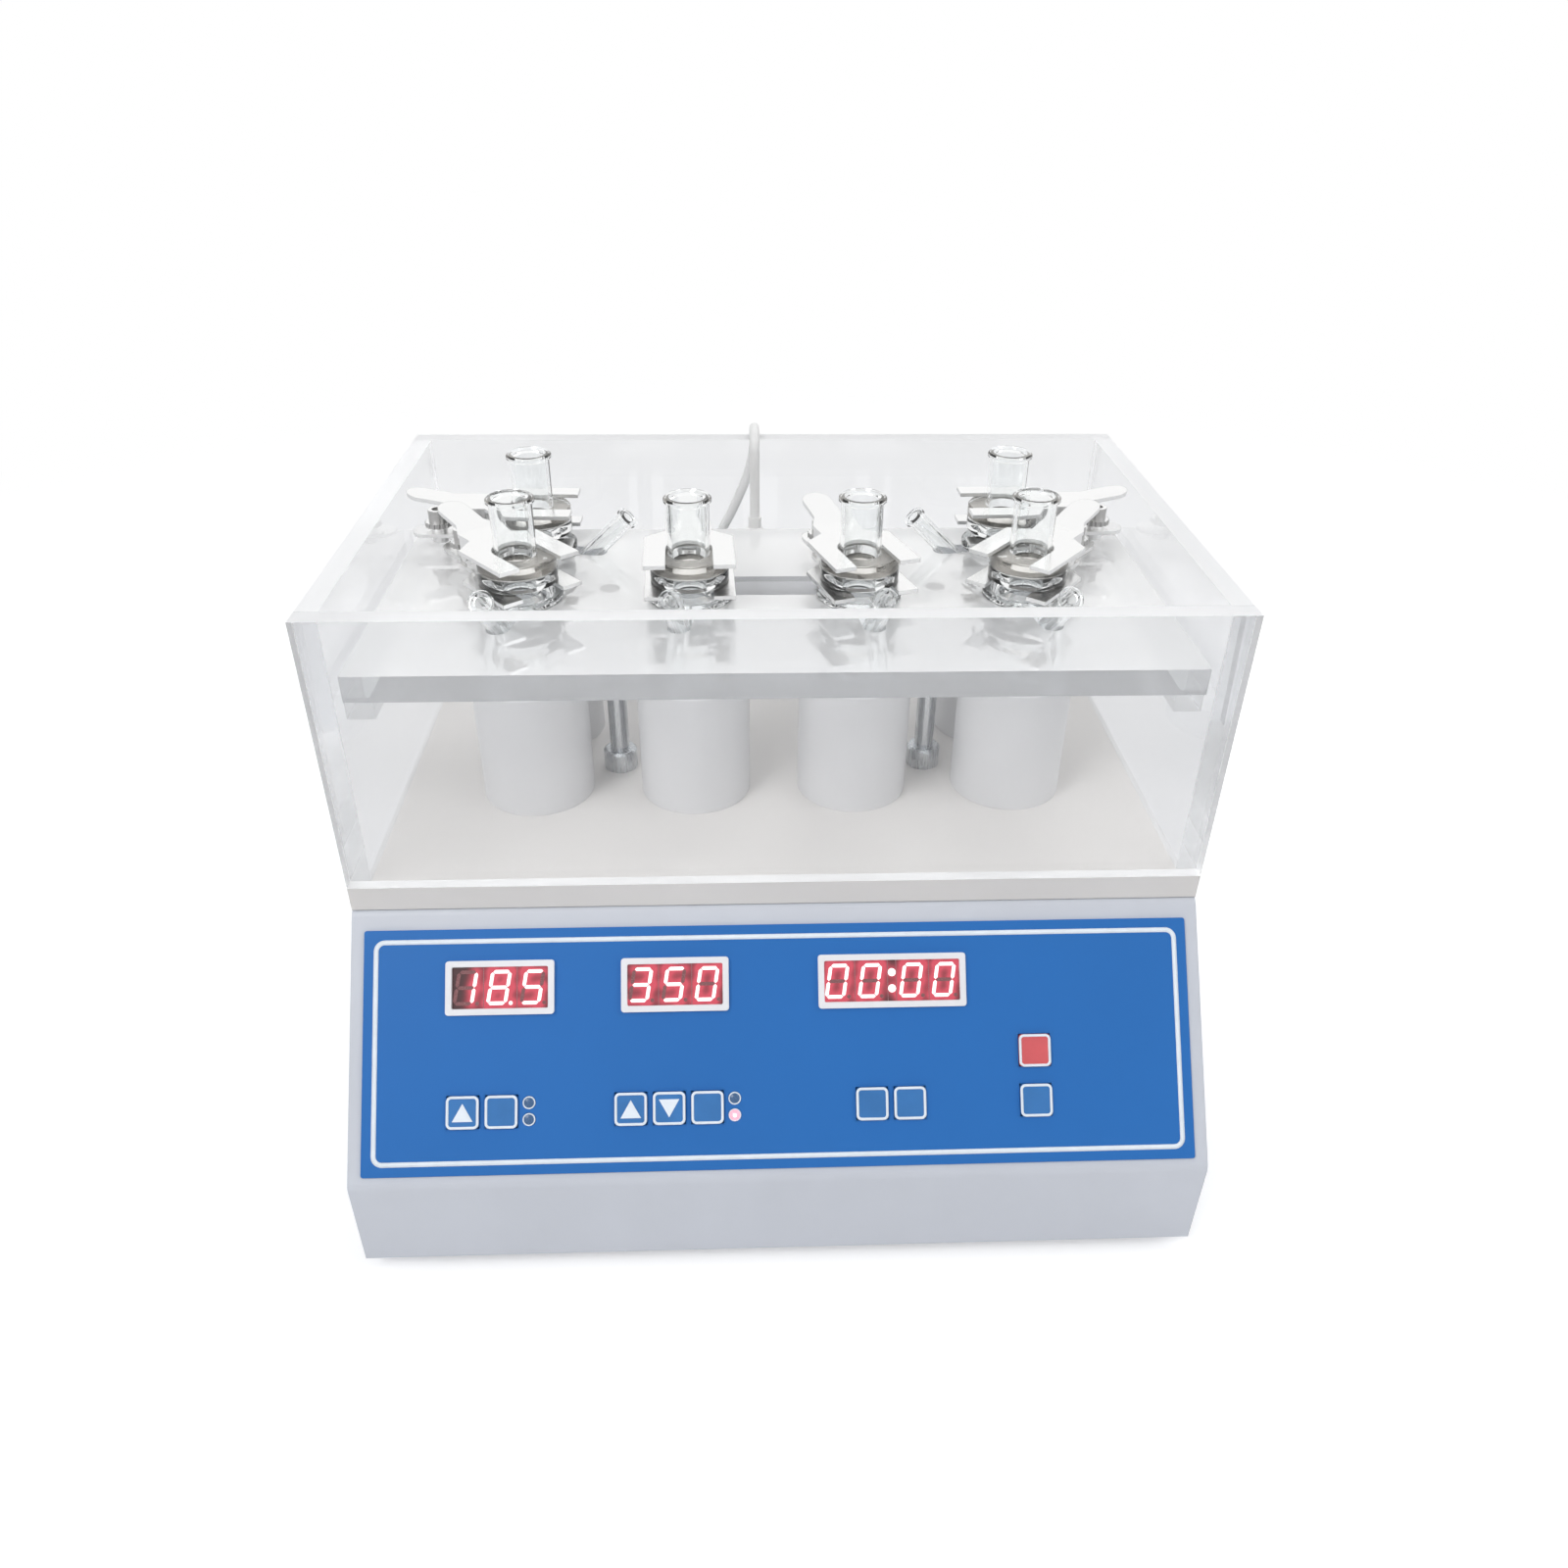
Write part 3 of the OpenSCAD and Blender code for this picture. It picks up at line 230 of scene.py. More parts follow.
# opaque finishes, lengths in metres: grain is its scale, strength and depth, wear the tone of worn edges
solidLooks = {
    "casePaint": {"colour": (0.57, 0.595, 0.65), "rough": 0.42, "tone": 0.02, "wear": 1.08,
                  "grain": (1400, 0.16, 0.00012)},
    "screwZinc": {"colour": (0.62, 0.63, 0.66), "rough": 0.34, "metal": 1.0, "edge": 0.0002,
                  "grain": (2500, 0.1, 0.00005)},
    "footRubber": {"colour": (0.025, 0.025, 0.028), "rough": 0.8, "tone": 0.2, "wear": 1.6,
                   "grain": (2200, 0.3, 0.0001)},
    "overlayFilm": {"colour": (0.018, 0.145, 0.455), "rough": 0.46, "tone": 0.035, "patch": 9, "wear": 1.25,
                    "gloss": 0.3, "edge": 0.0003, "grain": (5200, 0.1, 0.00003)},
    "bezelPlastic": {"colour": (0.80, 0.80, 0.83), "rough": 0.38, "tone": 0.02, "edge": 0.0003,
                     "grain": (2600, 0.1, 0.00004)},
    "displayFilter": {"colour": (0.05, 0.008, 0.012), "rough": 0.2, "tone": 0.15, "edge": 0.0002},
    "boardMask": {"colour": (0.02, 0.17, 0.07), "rough": 0.4, "tone": 0.1, "patch": 120},
    "supplyShell": {"colour": (0.66, 0.67, 0.69), "rough": 0.36, "metal": 1.0, "stretch": (0.05, 1, 1)},
    "inletMould": {"colour": (0.022, 0.022, 0.025), "rough": 0.5, "tone": 0.15, "wear": 1.8,
                   "grain": (3000, 0.25, 0.00006)},
    "motorShell": {"colour": (0.56, 0.57, 0.60), "rough": 0.36, "metal": 1.0, "stretch": (1, 1, 0.05)},
    "floorSheet": {"colour": (0.68, 0.662, 0.645), "rough": 0.5, "tone": 0.03, "patch": 14, "wear": 1.05,
                   "grain": (1100, 0.12, 0.0001)},
    "postSteel": {"colour": (0.60, 0.62, 0.64), "rough": 0.26, "metal": 1.0, "edge": 0.0003,
                  "stretch": (1, 1, 0.06)},
    "tubeSteel": {"colour": (0.78, 0.78, 0.78), "rough": 0.28, "metal": 1.0, "edge": 0.0003, "patch": 60,
                  "grain": (1800, 0.08, 0.00004), "stretch": (0.05, 1, 1)},
    "probePlastic": {"colour": (0.82, 0.82, 0.81), "rough": 0.36, "tone": 0.02, "edge": 0.0003},
    "membraneFilm": {"colour": (0.72, 0.69, 0.66), "rough": 0.6, "tone": 0.08, "patch": 400},
    "keyFilm": {"colour": (0.04, 0.175, 0.45), "rough": 0.4, "tone": 0.08, "patch": 90, "gloss": 0.35,
                "edge": 0.0003, "grain": (4200, 0.12, 0.00004)},
    "keyRed": {"colour": (0.66, 0.115, 0.125), "rough": 0.4, "tone": 0.07, "patch": 90, "gloss": 0.35,
               "edge": 0.0003, "grain": (4200, 0.12, 0.00004)},
    "printInk": {"colour": (0.80, 0.86, 0.93), "rough": 0.5, "tone": 0.03, "patch": 200, "gloss": 0.3,
                 "edge": 0.0001},
    "rotorCoat": {"colour": (0.07, 0.07, 0.075), "rough": 0.5, "tone": 0.12},
    "barCoat": {"colour": (0.84, 0.84, 0.83), "rough": 0.35, "tone": 0.02},
}


def solidFinish(name, colour, rough, spread=0.05, tone=0.05, patch=30, grain=(900, 0.1, 0.0001), metal=0.0,
                edge=0.0004, wear=1.06, gloss=0.5, stretch=None):
    # drifting tone, uneven gloss, a fine grain and slightly worn edges
    made, tree, shader, where = startMaterial(name)
    rounded, mask = edgeOf(tree, edge)
    drift = noiseAt(tree, where, patch, detail=4)
    scale, strength, depth = grain
    fine = noiseAt(tree, where, scale, detail=2, stretch=stretch)
    body = tonedBy(tree, drift, colour, 1 - tone, 1 + tone)
    feedAll(tree, shader, {
        "Base Color": mixOf(tree, mask, body, shaded(colour, wear)),
        "Roughness": rangeOf(tree, fine, rough - spread, rough + spread),
        "Normal": bumpOf(tree, fine, strength, depth, rounded),
        "Metallic": metal, "Specular IOR Level": gloss})
    return made


# polished steel that was stamped or knurled: the tone of its faces, and the grey of its cut sides, which is
# painted shade of the reflection falling off towards the sides
steelLooks = {
    # the cut tone of the sides is painted shade, not the steel's own grey
    "jawSteel": {"colour": (0.96, 0.96, 0.955), "cut": (0.80, 0.80, 0.80), "rough": 0.22},
    "nutSteel": {"colour": (0.96, 0.96, 0.955), "cut": (0.46, 0.455, 0.45), "rough": 0.16},
}
# edges darken the side tone by a share: painted shade
stamping = {"edge": 0.00025, "paintedEdgeShade": 0.6, "sides": (-0.6, 0.6), "grain": (2600, 0.06, 0.00004),
            "smear": 180, "faceSpread": (-0.04, 0.06), "sideSpread": (0.1, 0.25)}


def stampedFinish(name, colour, cut, rough):
    # cut sides are rougher than faces; their grey and the darker edges are painted shade
    made, tree, shader, where = startMaterial(name)
    rounded, mask = edgeOf(tree, stamping["edge"])
    side = facing(tree, "Z", *stamping["sides"])
    scale, strength, depth = stamping["grain"]
    fine = noiseAt(tree, where, scale, detail=2)
    smear = noiseAt(tree, where, stamping["smear"], detail=4)
    polish = rangeOf(tree, smear, *(rough + s for s in stamping["faceSpread"]))
    sawn = rangeOf(tree, fine, *(rough + s for s in stamping["sideSpread"]))
    # grey sides and darker edges laid over the face tone: painted shade
    paintedSideShade = [(side, cut), (mask, shaded(cut, stamping["paintedEdgeShade"]))]
    feedAll(tree, shader, {
        "Base Color": layered(tree, colour, paintedSideShade, "RGBA"),
        "Roughness": mixOf(tree, side, polish, sawn, "FLOAT"),
        "Normal": bumpOf(tree, fine, strength, depth, rounded), "Metallic": 1.0})
    return made


# towers turned on a lathe, one fine ring each pitch; a wave pattern of scale 1 repeats each waveRun
tower = {"colour": (0.67, 0.67, 0.68), "rough": 0.42, "spread": 0.06, "tone": (0.96, 1.02), "patch": 25,
         "pitch": 0.0005, "waveRun": 0.314, "shake": 0.6, "ring": (0.15, 0.00004), "edge": 0.0005,
         "glow": 0.15, "glowDepth": 0.004}


def turnedFinish(name):
    made, tree, shader, where = startMaterial(name)
    rounded = edgeOf(tree, tower["edge"])[0]
    rings = addNode(tree, "ShaderNodeTexWave", Vector=where, Scale=tower["waveRun"] / tower["pitch"],
                    Distortion=tower["shake"], Detail=2.0)
    rings.bands_direction = "Z"
    drift = noiseAt(tree, where, tower["patch"], detail=4)
    rough, spread = tower["rough"], tower["spread"]
    feedAll(tree, shader, {
        "Base Color": tonedBy(tree, drift, tower["colour"], *tower["tone"]),
        "Roughness": rangeOf(tree, drift, rough - spread, rough + spread),
        "Normal": bumpOf(tree, rings.outputs["Fac"], *tower["ring"], rounded),
        "Subsurface Weight": tower["glow"], "Subsurface Radius": (tower["glowDepth"],) * 3})
    return made


# glass of the cells: hardly seen waves in its face and a slightly uneven polish
glass = {"tint": (0.975, 0.985, 0.985), "bend": 1.474, "wave": (120, 0.05, 0.0002), "smear": 70,
         "haze": (0.0, 0.004), "hazeBand": (0.45, 0.75)}


def glassFinish(name):
    made, tree, shader, where = startMaterial(name)
    smear = noiseAt(tree, where, glass["smear"], detail=5)
    scale, strength, depth = glass["wave"]
    feedAll(tree, shader, {
        "Base Color": glass["tint"], "Transmission Weight": 1.0, "IOR": glass["bend"],
        "Roughness": rangeOf(tree, smear, *glass["haze"], glass["hazeBand"]),
        "Normal": bumpOf(tree, noiseAt(tree, where, scale, detail=2), strength, depth)})
    passLamps(tree, shader, glass["tint"])
    return made


# acrylic sheets, and those of their faces that are not polished clear or that carry painted reflection,
# found by normal and place
upFaces, sideFaces, downFaces = (0.5, 1.1), (-0.5, 0.5), (-1.1, -0.5)
wallLow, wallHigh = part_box("tank_walls")
# wall is a sheet's thickness with a little room, footHigh how far up a glued foot is looked for
acrylic = {"bend": 1.49, "wave": (40, 0.03, 0.0002), "lamps": 0.98, "coatRough": 0.015, "wall": 8.3 * mm,
           "footHigh": 2 * mm}
sawnTop = {"normal": upFaces, "colour": (0.96, 0.965, 0.97), "clear": 0.4, "rough": 0.4, "lamps": 0.7}
sawnEnd = {"middle": (wallLow.y + wallHigh.y) / 2, "reach": (wallHigh.y - wallLow.y) / 2 - acrylic["wall"],
           "colour": (0.93, 0.935, 0.94), "clear": 0.6, "rough": 0.4, "lamps": 0.8}
gluedFoot = {"normal": downFaces, "below": wallLow.z + acrylic["footHigh"], "colour": (0.96, 0.955, 0.95),
             "clear": 0.0, "rough": 0.6, "lamps": 1.0}
# the plate is clear acrylic; the milky white of its top is painted reflection of bright light overhead
paintedReflectionTop = {"normal": upFaces, "colour": (0.85, 0.85, 0.85), "clear": 0.4, "rough": 0.05, "lamps": 0.6}
cutSide = {"normal": sideFaces, "colour": (0.50, 0.51, 0.53), "clear": 0.8, "rough": 0.12, "lamps": 0.7}
sheetLooks = {
    "wallAcrylic": {"tint": (0.85, 0.855, 0.863), "zones": [sawnTop, gluedFoot, sawnEnd]},
    "plateAcrylic": {"tint": (0.93, 0.935, 0.94), "zones": [paintedReflectionTop, cutSide], "polish": 2.4},
}


def zoneMask(tree, where, zone):
    # 1 on a zone's faces: the ends beyond a reach, or faces by their normal, some only below a height
    if "reach" in zone:
        inner = mathOf(tree, "COMPARE", axisOf(tree, where, "Y"), zone["middle"], zone["reach"])
        others = mathOf(tree, "MAXIMUM", inner, facing(tree, "X", *sideFaces))
        return mathOf(tree, "SUBTRACT", 1.0, others)
    mask = facing(tree, "Z", *zone["normal"])
    if "below" in zone:
        low = mathOf(tree, "LESS_THAN", axisOf(tree, where, "Z"), zone["below"])
        mask = mathOf(tree, "MULTIPLY", mask, low)
    return mask


def sheetFinish(name, tint, zones, polish=None):
    # clear sheet whose zones have their own colour, clearness and gloss; polish is the bend of a coat
    made, tree, shader, where = startMaterial(name)
    masks = [zoneMask(tree, where, zone) for zone in zones]

    def zoned(first, label, kind="FLOAT"):
        return layered(tree, first, [(m, z[label]) for m, z in zip(masks, zones)], kind)

    scale, strength, depth = acrylic["wave"]
    feedAll(tree, shader, {
        "Base Color": zoned(tint, "colour", "RGBA"), "Transmission Weight": zoned(1.0, "clear"),
        "Roughness": zoned(0.0, "rough"), "IOR": acrylic["bend"],
        "Normal": bumpOf(tree, noiseAt(tree, where, scale, detail=2), strength, depth)})
    if polish:
        coat = {"Coat Weight": 1.0, "Coat Roughness": acrylic["coatRough"], "Coat IOR": polish}
        feedAll(tree, shader, coat)
    passLamps(tree, shader, zoned(acrylic["lamps"], "lamps"))
    return made


# tinted covers of light sources: their own colour, the light behind them and its level
glowLooks = {
    "segmentLit": {"colour": (0.9, 0.5, 0.5), "light": (1.0, 0.9, 0.91), "level": 1.05},
    "segmentDark": {"colour": (0.20, 0.085, 0.09), "light": (0.5, 0.1, 0.12), "level": 0.06},
    "lampClear": {"colour": (0.05, 0.12, 0.25), "light": (1, 1, 1), "level": 0.0},
    "lampLit": {"colour": (0.55, 0.2, 0.24), "light": (1.0, 0.38, 0.50), "level": 0.9},
    "lampCore": {"colour": (0.9, 0.6, 0.65), "light": (1.0, 0.86, 0.90), "level": 1.0},
    "moduleSeam": {"colour": (0.22, 0.10, 0.11), "light": (0.5, 0.12, 0.15), "level": 0.15},
}
cover = {"grain": 1800, "tone": (0.92, 1.05), "rough": (0.2, 0.32)}


def glowFinish(name, colour, light, level):
    made, tree, shader, where = startMaterial(name)
    fine = noiseAt(tree, where, cover["grain"], detail=2)
    feedAll(tree, shader, {
        "Base Color": tonedBy(tree, fine, colour, *cover["tone"]),
        "Roughness": rangeOf(tree, fine, *cover["rough"]),
        "Emission Color": light, "Emission Strength": level})
    return made


# dark tinted filter of a display, red where the bars light it: colours along its glow attribute
displayFilm = {
    "light": [(0.0, (0.018, 0.004, 0.005)), (0.35, (0.21, 0.024, 0.036)), (1.0, (0.52, 0.06, 0.09))],
    "body": [(0.0, (0.05, 0.022, 0.025)), (1.0, (0.16, 0.02, 0.03))],
    "grain": 2500, "rough": (0.18, 0.28),
}


def displayFinish(name):
    made, tree, shader, where = startMaterial(name)
    attribute = tree.nodes.new("ShaderNodeAttribute")
    attribute.attribute_name = "glow"
    thrown = attribute.outputs["Fac"]
    fine = noiseAt(tree, where, displayFilm["grain"], detail=2)
    feedAll(tree, shader, {
        "Emission Color": rampOf(tree, thrown, displayFilm["light"]), "Emission Strength": 1.0,
        "Base Color": rampOf(tree, thrown, displayFilm["body"]),
        "Roughness": rangeOf(tree, fine, *displayFilm["rough"])})
    return made


finishes = {"towerPlastic": turnedFinish("towerPlastic"), "labGlass": glassFinish("labGlass"),
            "displayGlow": displayFinish("displayGlow")}
for recipe, looks in ((solidFinish, solidLooks), (stampedFinish, steelLooks), (sheetFinish, sheetLooks),
                      (glowFinish, glowLooks)):
    for name, look in looks.items():
        finishes[name] = recipe(name, **look)
print("finishes made:", len(finishes))

# which finish each CAD node wears
wearing = {
    "casePaint": ["base_pan", "front_cover", "side_panels", "rear_panel"],
    "screwZinc": ["case_screws"],
    "footRubber": ["feet"],
    "overlayFilm": ["control_overlay"],
    "bezelPlastic": ["display_bezels"],
    "displayFilter": ["led_displays"],
    "lampClear": ["indicator_leds"],
    "boardMask": ["control_board"],
    "supplyShell": ["power_supply"],
    "inletMould": ["power_inlet", "power_rocker"],
    "motorShell": ["stirrer_motors"],
    "floorSheet": ["tank_floor"],
    "wallAcrylic": ["tank_walls"],
    "plateAcrylic": ["holder_plate"],
    "postSteel": ["plate_supports"],
    "tubeSteel": ["heater_tube"],
    "towerPlastic": ["stirrer_towers"],
    "probePlastic": ["temperature_probe", "probe_lead"],
    "labGlass": ["receptor_chambers", "donor_chambers"],
    "membraneFilm": ["membranes"],
    "jawSteel": ["clamp_frames", *(f"upper_jaw_{i}" for i in cells)],
    "nutSteel": [f"lock_nut_{i}" for i in cells],
    "rotorCoat": [f"magnet_rotor_{i}" for i in cells],
    "barCoat": [f"stir_bar_{i}" for i in cells],
    "keyFilm": ["key_temp_up", "key_temp_set", "key_speed_up", "key_speed_down", "key_speed_set",
                "key_timer_set", "key_timer_run", "key_start"],
    "keyRed": ["key_stop"],
}
for finish, names in wearing.items():
    for name in names:
        mesh = nodes[name].data
        mesh.materials.clear()
        mesh.materials.append(finishes[finish])
print("CAD nodes dressed:", sum(len(v) for v in wearing.values()))

# lead of the probe in millimetres: from its gland up the back wall, over the rim and down to the ball
lead = {"across": 4.5, "gland": (-40, 128.5, 137), "bend": (-5.5, 116.5, 240.94), "bendRadius": 9,
        "steps": 8, "climb": [(-40, 128.5, 144), (-38, 128, 156), (-32.5, 127.5, 174), (-23.5, 126.5, 194),
                              (-14.5, 125.5, 212), (-7.5, 125.5, 230)],
        "drop": [(-5.5, 107.5, 230), (-5.5, 107.5, 218), (-5.5, 107.5, 206)], "length": 0.174, "smooth": 6}


def makeLead():
    x, y, z = lead["bend"]
    turns = [math.pi * k / lead["steps"] for k in range(lead["steps"] + 1)]
    arc = [(x, y + lead["bendRadius"] * math.cos(a), z + lead["bendRadius"] * math.sin(a)) for a in turns]
    route = [lead["gland"], *lead["climb"], *arc, *lead["drop"]]
    line = bpy.data.curves.new("probe_lead_cord", "CURVE")
    line.dimensions = "3D"
    line.bevel_depth = 1.0  # times each point's radius
    line.bevel_resolution = lead["smooth"]
    line.resolution_u = lead["smooth"]
    line.use_fill_caps = True
    line.materials.append(finishes["probePlastic"])
    spline = line.splines.new("BEZIER")
    spline.bezier_points.add(len(route) - 1)
    for spot, place in zip(spline.bezier_points, route):
        spot.co = Vector(place) * mm
        spot.radius = lead["across"] / 2 * mm
        spot.handle_left_type = spot.handle_right_type = "AUTO"
    made = bpy.data.objects.new("probe_lead_cord", line)
    scene.collection.objects.link(made)
    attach(made, "housing")
    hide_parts("probe_lead")


makeLead()
print("probe lead laid")


def linkMesh(name, mesh, body):
    made = bpy.data.objects.new(name, mesh)
    scene.collection.objects.link(made)
    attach(made, body)
    return made


# clear walls: the CAD shape, with its feet a hair above the floor sheet so that light reaches the joint
walls = {"gap": 0.05, "merge": 0.001}


def makeWalls():
    gap = walls["gap"] * mm
    mesh = nodes["tank_walls"].data.copy()
    mesh.name = "tank_walls_clear"
    body = bmesh.new()
    body.from_mesh(mesh)
    bmesh.ops.remove_doubles(body, verts=body.verts, dist=walls["merge"] * mm)
    for v in body.verts:
        if v.co.z < wallLow.z + gap:
            v.co.z += gap
    body.to_mesh(mesh)
    body.free()
    made = linkMesh("tank_walls_clear", mesh, "housing")
    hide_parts("tank_walls")


makeWalls()
print("clear walls set on the floor sheet")

# the sloped panel in millimetres: its run and rise, its lower crease, and the overlay that lies on it
panel = {"run": 63, "rise": 80, "front": -142.5, "crease": 48, "overlay": (310, 90), "foot": 4, "film": 0.8}


def onOverlay(x, y, out):
    # matrix that lays a piece made in metres at a place on the overlay, given in millimetres
    slope = math.atan2(panel["rise"], panel["run"])
    crease = Matrix.Translation((0, panel["front"] * mm, panel["crease"] * mm))
    spot = ((x - panel["overlay"][0] / 2) * mm, (y + panel["foot"]) * mm, out * mm)
    return crease @ Matrix.Rotation(slope, 4, "X") @ Matrix.Translation(spot)


def startTree(name, labels, takesPoints=False):
    # geometry tree whose inputs are named sizes and a finish
    tree = bpy.data.node_groups.new(name, "GeometryNodeTree")
    sockets = [("Geometry", "OUTPUT", "Geometry")]
    if takesPoints:
        sockets.append(("Geometry", "INPUT", "Geometry"))
    sockets += [(label, "INPUT", "Float") for label in labels] + [("Finish", "INPUT", "Material")]
    for label, way, kind in sockets:
        tree.interface.new_socket(label, in_out=way, socket_type="NodeSocket" + kind)
    return tree, tree.nodes.new("NodeGroupInput").outputs


def endTree(tree, given, geometry):
    whole = addNode(tree, "GeometryNodeRealizeInstances", Geometry=geometry)
    dressed = addNode(tree, "GeometryNodeSetMaterial", Geometry=whole.outputs[0], Material=given["Finish"])
    feed(tree, tree.nodes.new("NodeGroupOutput").inputs[0], dressed.outputs[0])
    return tree


def grown(name, tree, sizes, finish, place, base=None):
    # runs a node tree on an empty mesh or on points, and keeps the result as a plain mesh at its place
    values = {**{label: size * mm for label, size in sizes.items()}, "Finish": finishes[finish]}
    holder = bpy.data.objects.new(name + "Maker", base or bpy.data.meshes.new(name + "Maker"))
    scene.collection.objects.link(holder)
    maker = holder.modifiers.new("maker", "NODES")
    maker.node_group = tree
    for socket in tree.interface.items_tree:
        if socket.in_out == "INPUT" and socket.name in values:
            maker[socket.identifier] = values[socket.name]
    graph = bpy.context.evaluated_depsgraph_get()
    mesh = bpy.data.meshes.new_from_object(holder.evaluated_get(graph), depsgraph=graph)
    holder.modifiers.remove(maker)
    bpy.data.objects.remove(holder)
    mesh.name = name
    mesh.transform(place)
    return mesh


# rings of printed ink, film or plastic with round corners
ring = {"cornerSteps": 8}


def ringTree():
    tree, given = startTree("roundedRing", ("Width", "Height", "Corner", "Line", "Rise"))
    rectangle = "GeometryNodeCurvePrimitiveQuadrilateral"
    outline = addNode(tree, rectangle, Width=given["Width"], Height=given["Height"])
    section = addNode(tree, rectangle, Width=given["Line"], Height=given["Rise"])
    fillet = tree.nodes.new("GeometryNodeFilletCurve")
    fillet.mode = "POLY"
    corners = {"Curve": outline.outputs[0], "Radius": given["Corner"], "Count": ring["cornerSteps"]}
    feedAll(tree, fillet, corners)
    sweep = addNode(tree, "GeometryNodeCurveToMesh", Curve=fillet.outputs[0],
                    Profile_Curve=section.outputs[0])
    return endTree(tree, given, sweep.outputs[0])


ringMaker = ringTree()


def layRing(name, wide, high, look, finish, place, body):
    sizes = {"Width": wide, "Height": high, "Corner": look["corner"], "Line": look["line"],
             "Rise": look["rise"]}
    linkMesh(name, grown(name, ringMaker, sizes, finish, place), body)


# white line round the overlay
frameLine = {"inset": 4.5, "line": 1.8, "corner": 3.2, "rise": 0.06}


def makeFrameLine():
    wide, high = panel["overlay"]
    inset = 2 * frameLine["inset"]
    place = onOverlay(wide / 2, high / 2, panel["film"] + frameLine["rise"] / 2)
    layRing("overlayFrameLine", wide - inset, high - inset, frameLine, "printInk", place, "housing")


makeFrameLine()
print("overlay line printed")


def closeMesh(name, body, finish):
    # turns the faces outwards and dresses them
    bmesh.ops.recalc_face_normals(body, faces=body.faces)
    mesh = bpy.data.meshes.new(name)
    body.to_mesh(mesh)
    body.free()
    mesh.materials.append(finishes[finish])
    return mesh


def flatMarks(name, outlines, lift, rise, finish):
    # thin flat bodies on given outlines
    body = bmesh.new()
    for outline in outlines:
        face = body.faces.new([body.verts.new((x * mm, y * mm, lift * mm)) for x, y in outline])
        lifted = bmesh.ops.extrude_face_region(body, geom=[face])["geom"]
        corners = [v for v in lifted if isinstance(v, bmesh.types.BMVert)]
        bmesh.ops.translate(body, verts=corners, vec=(0, 0, rise * mm))
    return closeMesh(name, body, finish)


# keys: where they stand on the overlay, and the sign each one carries
keys = {
    "key_temp_up": (37, 22.9, "up"),
    "key_temp_set": (51.2, 22.9, None),
    "key_speed_up": (98.8, 22.9, "up"),
    "key_speed_down": (113, 22.9, "down"),
    "key_speed_set": (127.2, 22.9, None),
    "key_timer_set": (188.6, 22.9, None),
    "key_timer_run": (202.8, 22.9, None),
    "key_stop": (250.4, 41.3, None),
    "key_start": (250.4, 22.9, None),
}
keyCap = {"side": 12, "top": 1.8}
keyRim = {"line": 0.95, "corner": 1.5, "rise": 0.3}
keySkirt = {"line": 0.5, "corner": 0.3, "rise": 0.3, "gap": 0.1, "sunk": 0.13}
keyArrow = {"wide": 7.6, "high": 6.6, "rise": 0.12, "turn": {"up": 1, "down": -1}}
bodyOf = {n: b for b, members in frame["record"]["behaviour"]["bodies"].items() for n in members}


def arrowMesh(name, sign):
    # triangle with its tip up or down the slope
    tips = ((-0.5, -0.5), (0.5, -0.5), (0, 0.5))
    turn = keyArrow["turn"][sign]
    outline = [(x * keyArrow["wide"], y * keyArrow["high"] * turn) for x, y in tips]
    return flatMarks(name, [outline], 0, keyArrow["rise"], "printInk")


def makeKeyTrim(name, x, y, sign):
    # rim and sign go down with the cap, the skirt stays on the overlay
    body = bodyOf[name]
    onCap = onOverlay(x, y, keyCap["top"])
    rim = keyCap["side"] - keyRim["line"]
    layRing(name + "_rim", rim, rim, keyRim, "printInk", onCap, body)
    skirt = keyCap["side"] + keySkirt["line"] + keySkirt["gap"]
    onFilm = onOverlay(x, y, panel["film"] - keySkirt["sunk"])
    layRing(name + "_skirt", skirt, skirt, keySkirt, "overlayFilm", onFilm, "housing")
    if sign:
        mesh = arrowMesh(name + "_arrow", sign)
        mesh.transform(onCap)
        linkMesh(name + "_arrow", mesh, body)


for name, (x, y, sign) in keys.items():
    makeKeyTrim(name, x, y, sign)
print("keys trimmed:", len(keys))

# seven-segment displays, sizes in millimetres: centre on the overlay and what it reads
displays = {"temp": (50.5, "18.5"), "speed": (115.5, "350"), "timer": (197.1, "00:00")}
digit = {"pitch": 12.4, "colon": 3.2, "y": 68.3, "high": 11.6, "wide": 6.4, "bar": 1.35, "gap": 0.16,
         "slant": 9, "face": 0.8, "areaHigh": 15.4, "aside": 0.5, "dot": 1.5, "dotAside": 1.15,
         "colonDot": 3.0, "colonSpread": 0.26, "seam": 0.3, "dotSides": 20}
strokes = {"0": "abcdef", "1": "bc", "3": "abcdg", "5": "acdfg", "8": "abcdefg"}
# bodies on the filter: how high they start, how thick they are, and their finish
marksOn = {"lit": (0.05, 0.06, "segmentLit"), "dark": (0.04, 0.03, "segmentDark"),
           "seams": (0.03, 0.03, "moduleSeam")}
# the light on the filter: how far it reaches, squares of its grid for each millimetre, and its free border
glow = {"reach": 2.2, "squares": 2.2, "border": 1.6, "lift": 0.02}


def segmentPaths():
    # centre line of each bar, from the digit's middle
    x, y = digit["wide"] / 2, digit["high"] / 2
    return {"a": ((-x, y), (x, y)), "b": ((x, y), (x, 0)), "c": ((x, 0), (x, -y)), "d": ((-x, -y), (x, -y)),
            "e": ((-x, 0), (-x, -y)), "f": ((-x, y), (-x, 0)), "g": ((-x, 0), (x, 0))}


def slanted(point, middle):
    x, y = point
    return Vector((x + y * math.tan(math.radians(digit["slant"])) + middle, y))


